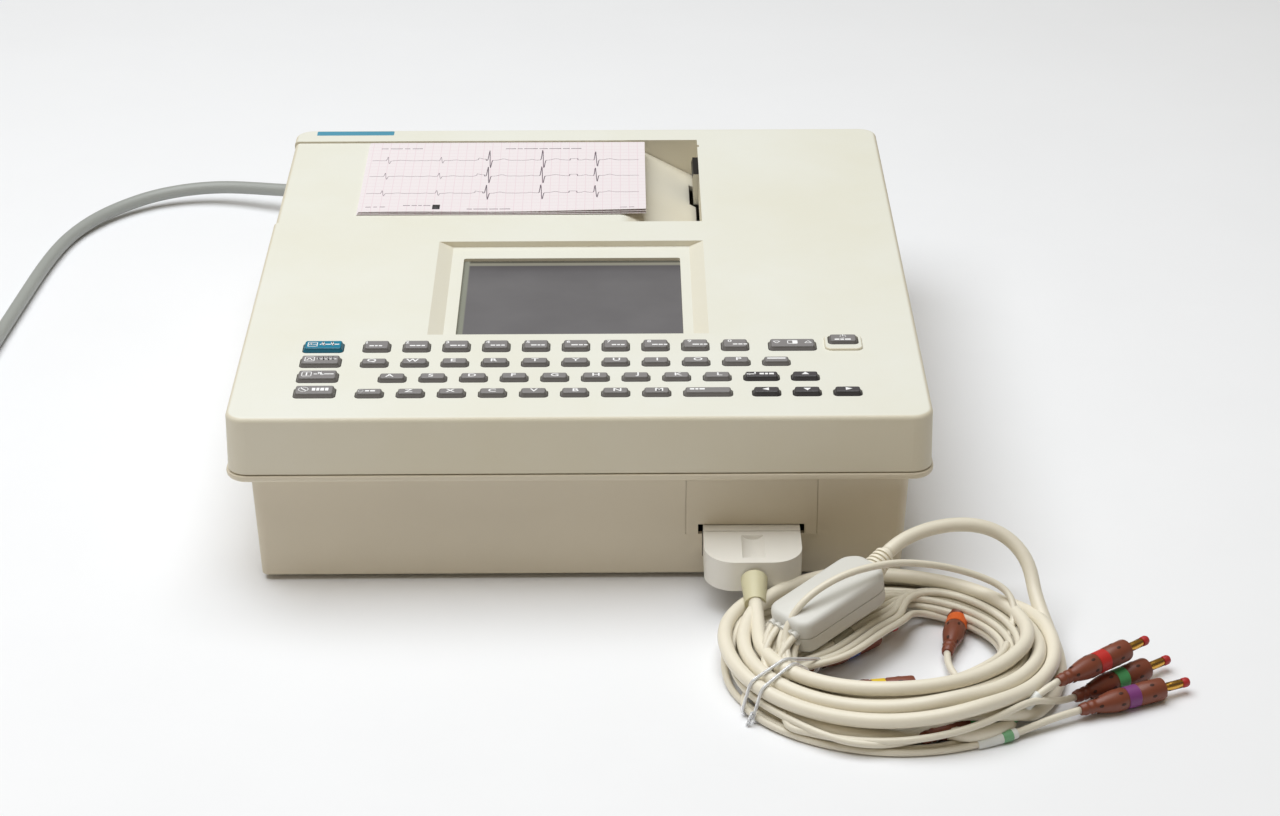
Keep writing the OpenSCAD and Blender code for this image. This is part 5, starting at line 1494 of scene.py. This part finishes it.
class RECORDER_OT_latch_coil(bpy.types.Operator):
    """Spring behind the latch"""
    bl_idname = "recorder.latch_coil"
    bl_label = "Latch spring"

    def execute(self, context):
        low, high = (Vector(corner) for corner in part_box("latch_spring"))
        middle, wire = (low + high) / 2, SPRING_WIRE * MM
        radius = (high.y - low.y) / 2 - wire
        left, right = low.x + wire, high.x - wire
        count = SPRING_TURNS * SPRING_POINTS
        points = []
        for k in range(count + 1):
            turn = 2 * math.pi * SPRING_TURNS * k / count
            points.append(Vector((left + (right - left) * k / count, middle.y + radius * math.cos(turn),
                                  middle.z + radius * math.sin(turn))))
        steel = moulded("spring_wire", linear(182, 184, 186), 0.3, grain_scale=900, shade=0.1, metallic=1.0)
        spring = join_parts("latch_spring_coil", [tube(points, wire, 8)], steel)
        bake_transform(spring)
        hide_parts("latch_spring")
        return {"FINISHED"}


# ---------- case and inner pieces ----------

class RECORDER_OT_case_finish(bpy.types.Operator):
    """Finishes of the shells, covers and keys, with painted shade on the sides of the upper shell, the cover
    and the keys
    """
    bl_idname = "recorder.case_finish"
    bl_label = "Case finish"

    def execute(self, context):
        colours = context.scene.recorder_colours
        warm = tuple(a * b for a, b in zip(colours.case, (0.965, 0.95, 0.9)))
        case = moulded("case_ivory", colours.case, 0.5, grain=0.22, shade=0.03, stain=warm)
        # painted shade: a warm tint darkens the sides of the upper shell and the paper cover
        dress(paint_side_shade(case, (0.92, 0.86, 0.77)), "upper_shell", "paper_cover")
        dress(moulded("tub_ivory", colours.tub, 0.5, grain=0.22, shade=0.05), "lower_shell",
              "connector_panel")
        dress(moulded("foot_rubber", linear(38, 38, 40), 0.75, grain=0.3), "rubber_feet")
        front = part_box("cover_latch")[0][1]
        dress_two("cover_latch", moulded("latch_black", linear(20, 20, 22), 0.42, grain=0.1),
                  moulded("latch_body", linear(206, 202, 188), 0.5), lambda c: c.y < front + 0.5 * MM)
        grey = moulded("key_grey", colours.keys, 0.45, grain=0.25, grain_scale=1800, shade=0.1)
        # painted shade: the sides of the grey keys are darkened
        paint_side_shade(grey, (0.62, 0.61, 0.6))
        dark = moulded("key_dark", colours.dark_keys, 0.45, grain=0.25, grain_scale=1800, shade=0.1)
        # painted shade: the sides of the dark keys are darkened
        paint_side_shade(dark, (0.6, 0.6, 0.6))
        dress(grey, "rhythm_key", "manual_key", "stop_key", "standby_key", "contrast_key", "bar_key",
              "space_key", "digit_keys", "upper_row_keys", "home_row_keys", "lower_row_keys")
        dress(dark, "enter_key", "up_key", "down_key", "left_key", "right_key")
        teal = moulded("key_teal", colours.record_key, 0.42, grain=0.25, grain_scale=1800, shade=0.08)
        # painted shade: the sides of the record key are darkened
        dress(paint_side_shade(teal, (0.6, 0.6, 0.6)), "ecg_key")
        dress(moulded("hood_grey", linear(234, 231, 224), 0.45, grain=0.12, shade=0.05), "cable_hood")
        dress(moulded("boot_cream", linear(212, 206, 172), 0.45, grain=0.12, shade=0.08), "cable_boot")
        return {"FINISHED"}


class RECORDER_OT_inner_finish(bpy.types.Operator):
    """Finishes of the pieces inside the case"""
    bl_idname = "recorder.inner_finish"
    bl_label = "Inner finish"

    def execute(self, context):
        steel = moulded("zinc_steel", linear(176, 178, 180), 0.35, grain_scale=900, shade=0.1, metallic=1.0)
        dress(steel, "case_screws", "patient_socket", "writer_frame", "head_springs", "latch_spring",
              "platen_shaft")
        dress(moulded("silicone_mat", linear(150, 150, 146), 0.7), "key_mat")
        board = moulded("board_green", linear(40, 96, 62), 0.35, shade=0.15)
        dress(board, "keyboard_board", "main_board", "input_board")
        dress(moulded("supply_laminate", linear(172, 138, 76), 0.5), "power_supply")
        dress(moulded("battery_wrap", linear(54, 58, 62), 0.4), "battery_pack")
        dress(moulded("inlet_black", linear(28, 28, 30), 0.45), "mains_inlet")
        dress(moulded("tray_cream", linear(200, 197, 186), 0.5, grain=0.15), "paper_tray")
        dress(moulded("pack_paper", linear(240, 234, 236), 0.75, grain=0.1), "paper_stack")
        dress(moulded("head_ceramic", linear(205, 202, 194), 0.3), "print_head")
        dress(moulded("motor_paint", linear(60, 62, 66), 0.4), "drive_motor")
        dress(moulded("acetal", linear(228, 224, 210), 0.4), "idler_gear", "platen_gear")
        brass = moulded("machined_brass", linear(196, 160, 92), 0.3, grain_scale=900, metallic=1.0)
        dress(brass, "motor_pinion")
        dress(moulded("platen_rubber", linear(44, 44, 46), 0.6), "platen_roller")
        dress(moulded("display_grey", linear(112, 114, 120), 0.4), "display_module")
        dress(pane_with_painted_shadow("display_pane"), "display_window")
        return {"FINISHED"}


class RECORDER_PT_panel(bpy.types.Panel):
    """The recorder's pieces"""
    bl_label = "Recorder"
    bl_idname = "RECORDER_PT_panel"
    bl_space_type = "VIEW_3D"
    bl_region_type = "UI"
    bl_category = "Recorder"

    def draw(self, context):
        for step in STEPS:
            self.layout.operator(step.bl_idname)
        for group in ("recorder_colours", "recorder_cables", "recorder_studio"):
            box = self.layout.box()
            data = getattr(context.scene, group)
            for name in data.__annotations__:
                box.prop(data, name)


GROUPS = {"recorder_colours": RecorderColours, "recorder_cables": CableSizes,
          "recorder_studio": StudioSettings}
STEPS = (RECORDER_OT_studio, RECORDER_OT_mains_cord, RECORDER_OT_junction_block, RECORDER_OT_lead_plugs,
         RECORDER_OT_patient_cable, RECORDER_OT_key_legends, RECORDER_OT_chart, RECORDER_OT_strip,
         RECORDER_OT_latch_coil, RECORDER_OT_case_finish, RECORDER_OT_inner_finish)


def register():
    for name, group in GROUPS.items():
        bpy.utils.register_class(group)
        setattr(bpy.types.Scene, name, PointerProperty(type=group))
    for cls in (*STEPS, RECORDER_PT_panel):
        bpy.utils.register_class(cls)


def unregister():
    for cls in (*STEPS, RECORDER_PT_panel):
        bpy.utils.unregister_class(cls)
    for name, group in GROUPS.items():
        delattr(bpy.types.Scene, name)
        bpy.utils.unregister_class(group)


def main():
    register()
    for step in STEPS:
        area, operator = step.bl_idname.split(".")
        getattr(getattr(bpy.ops, area), operator)()


if __name__ == "__main__":
    main()
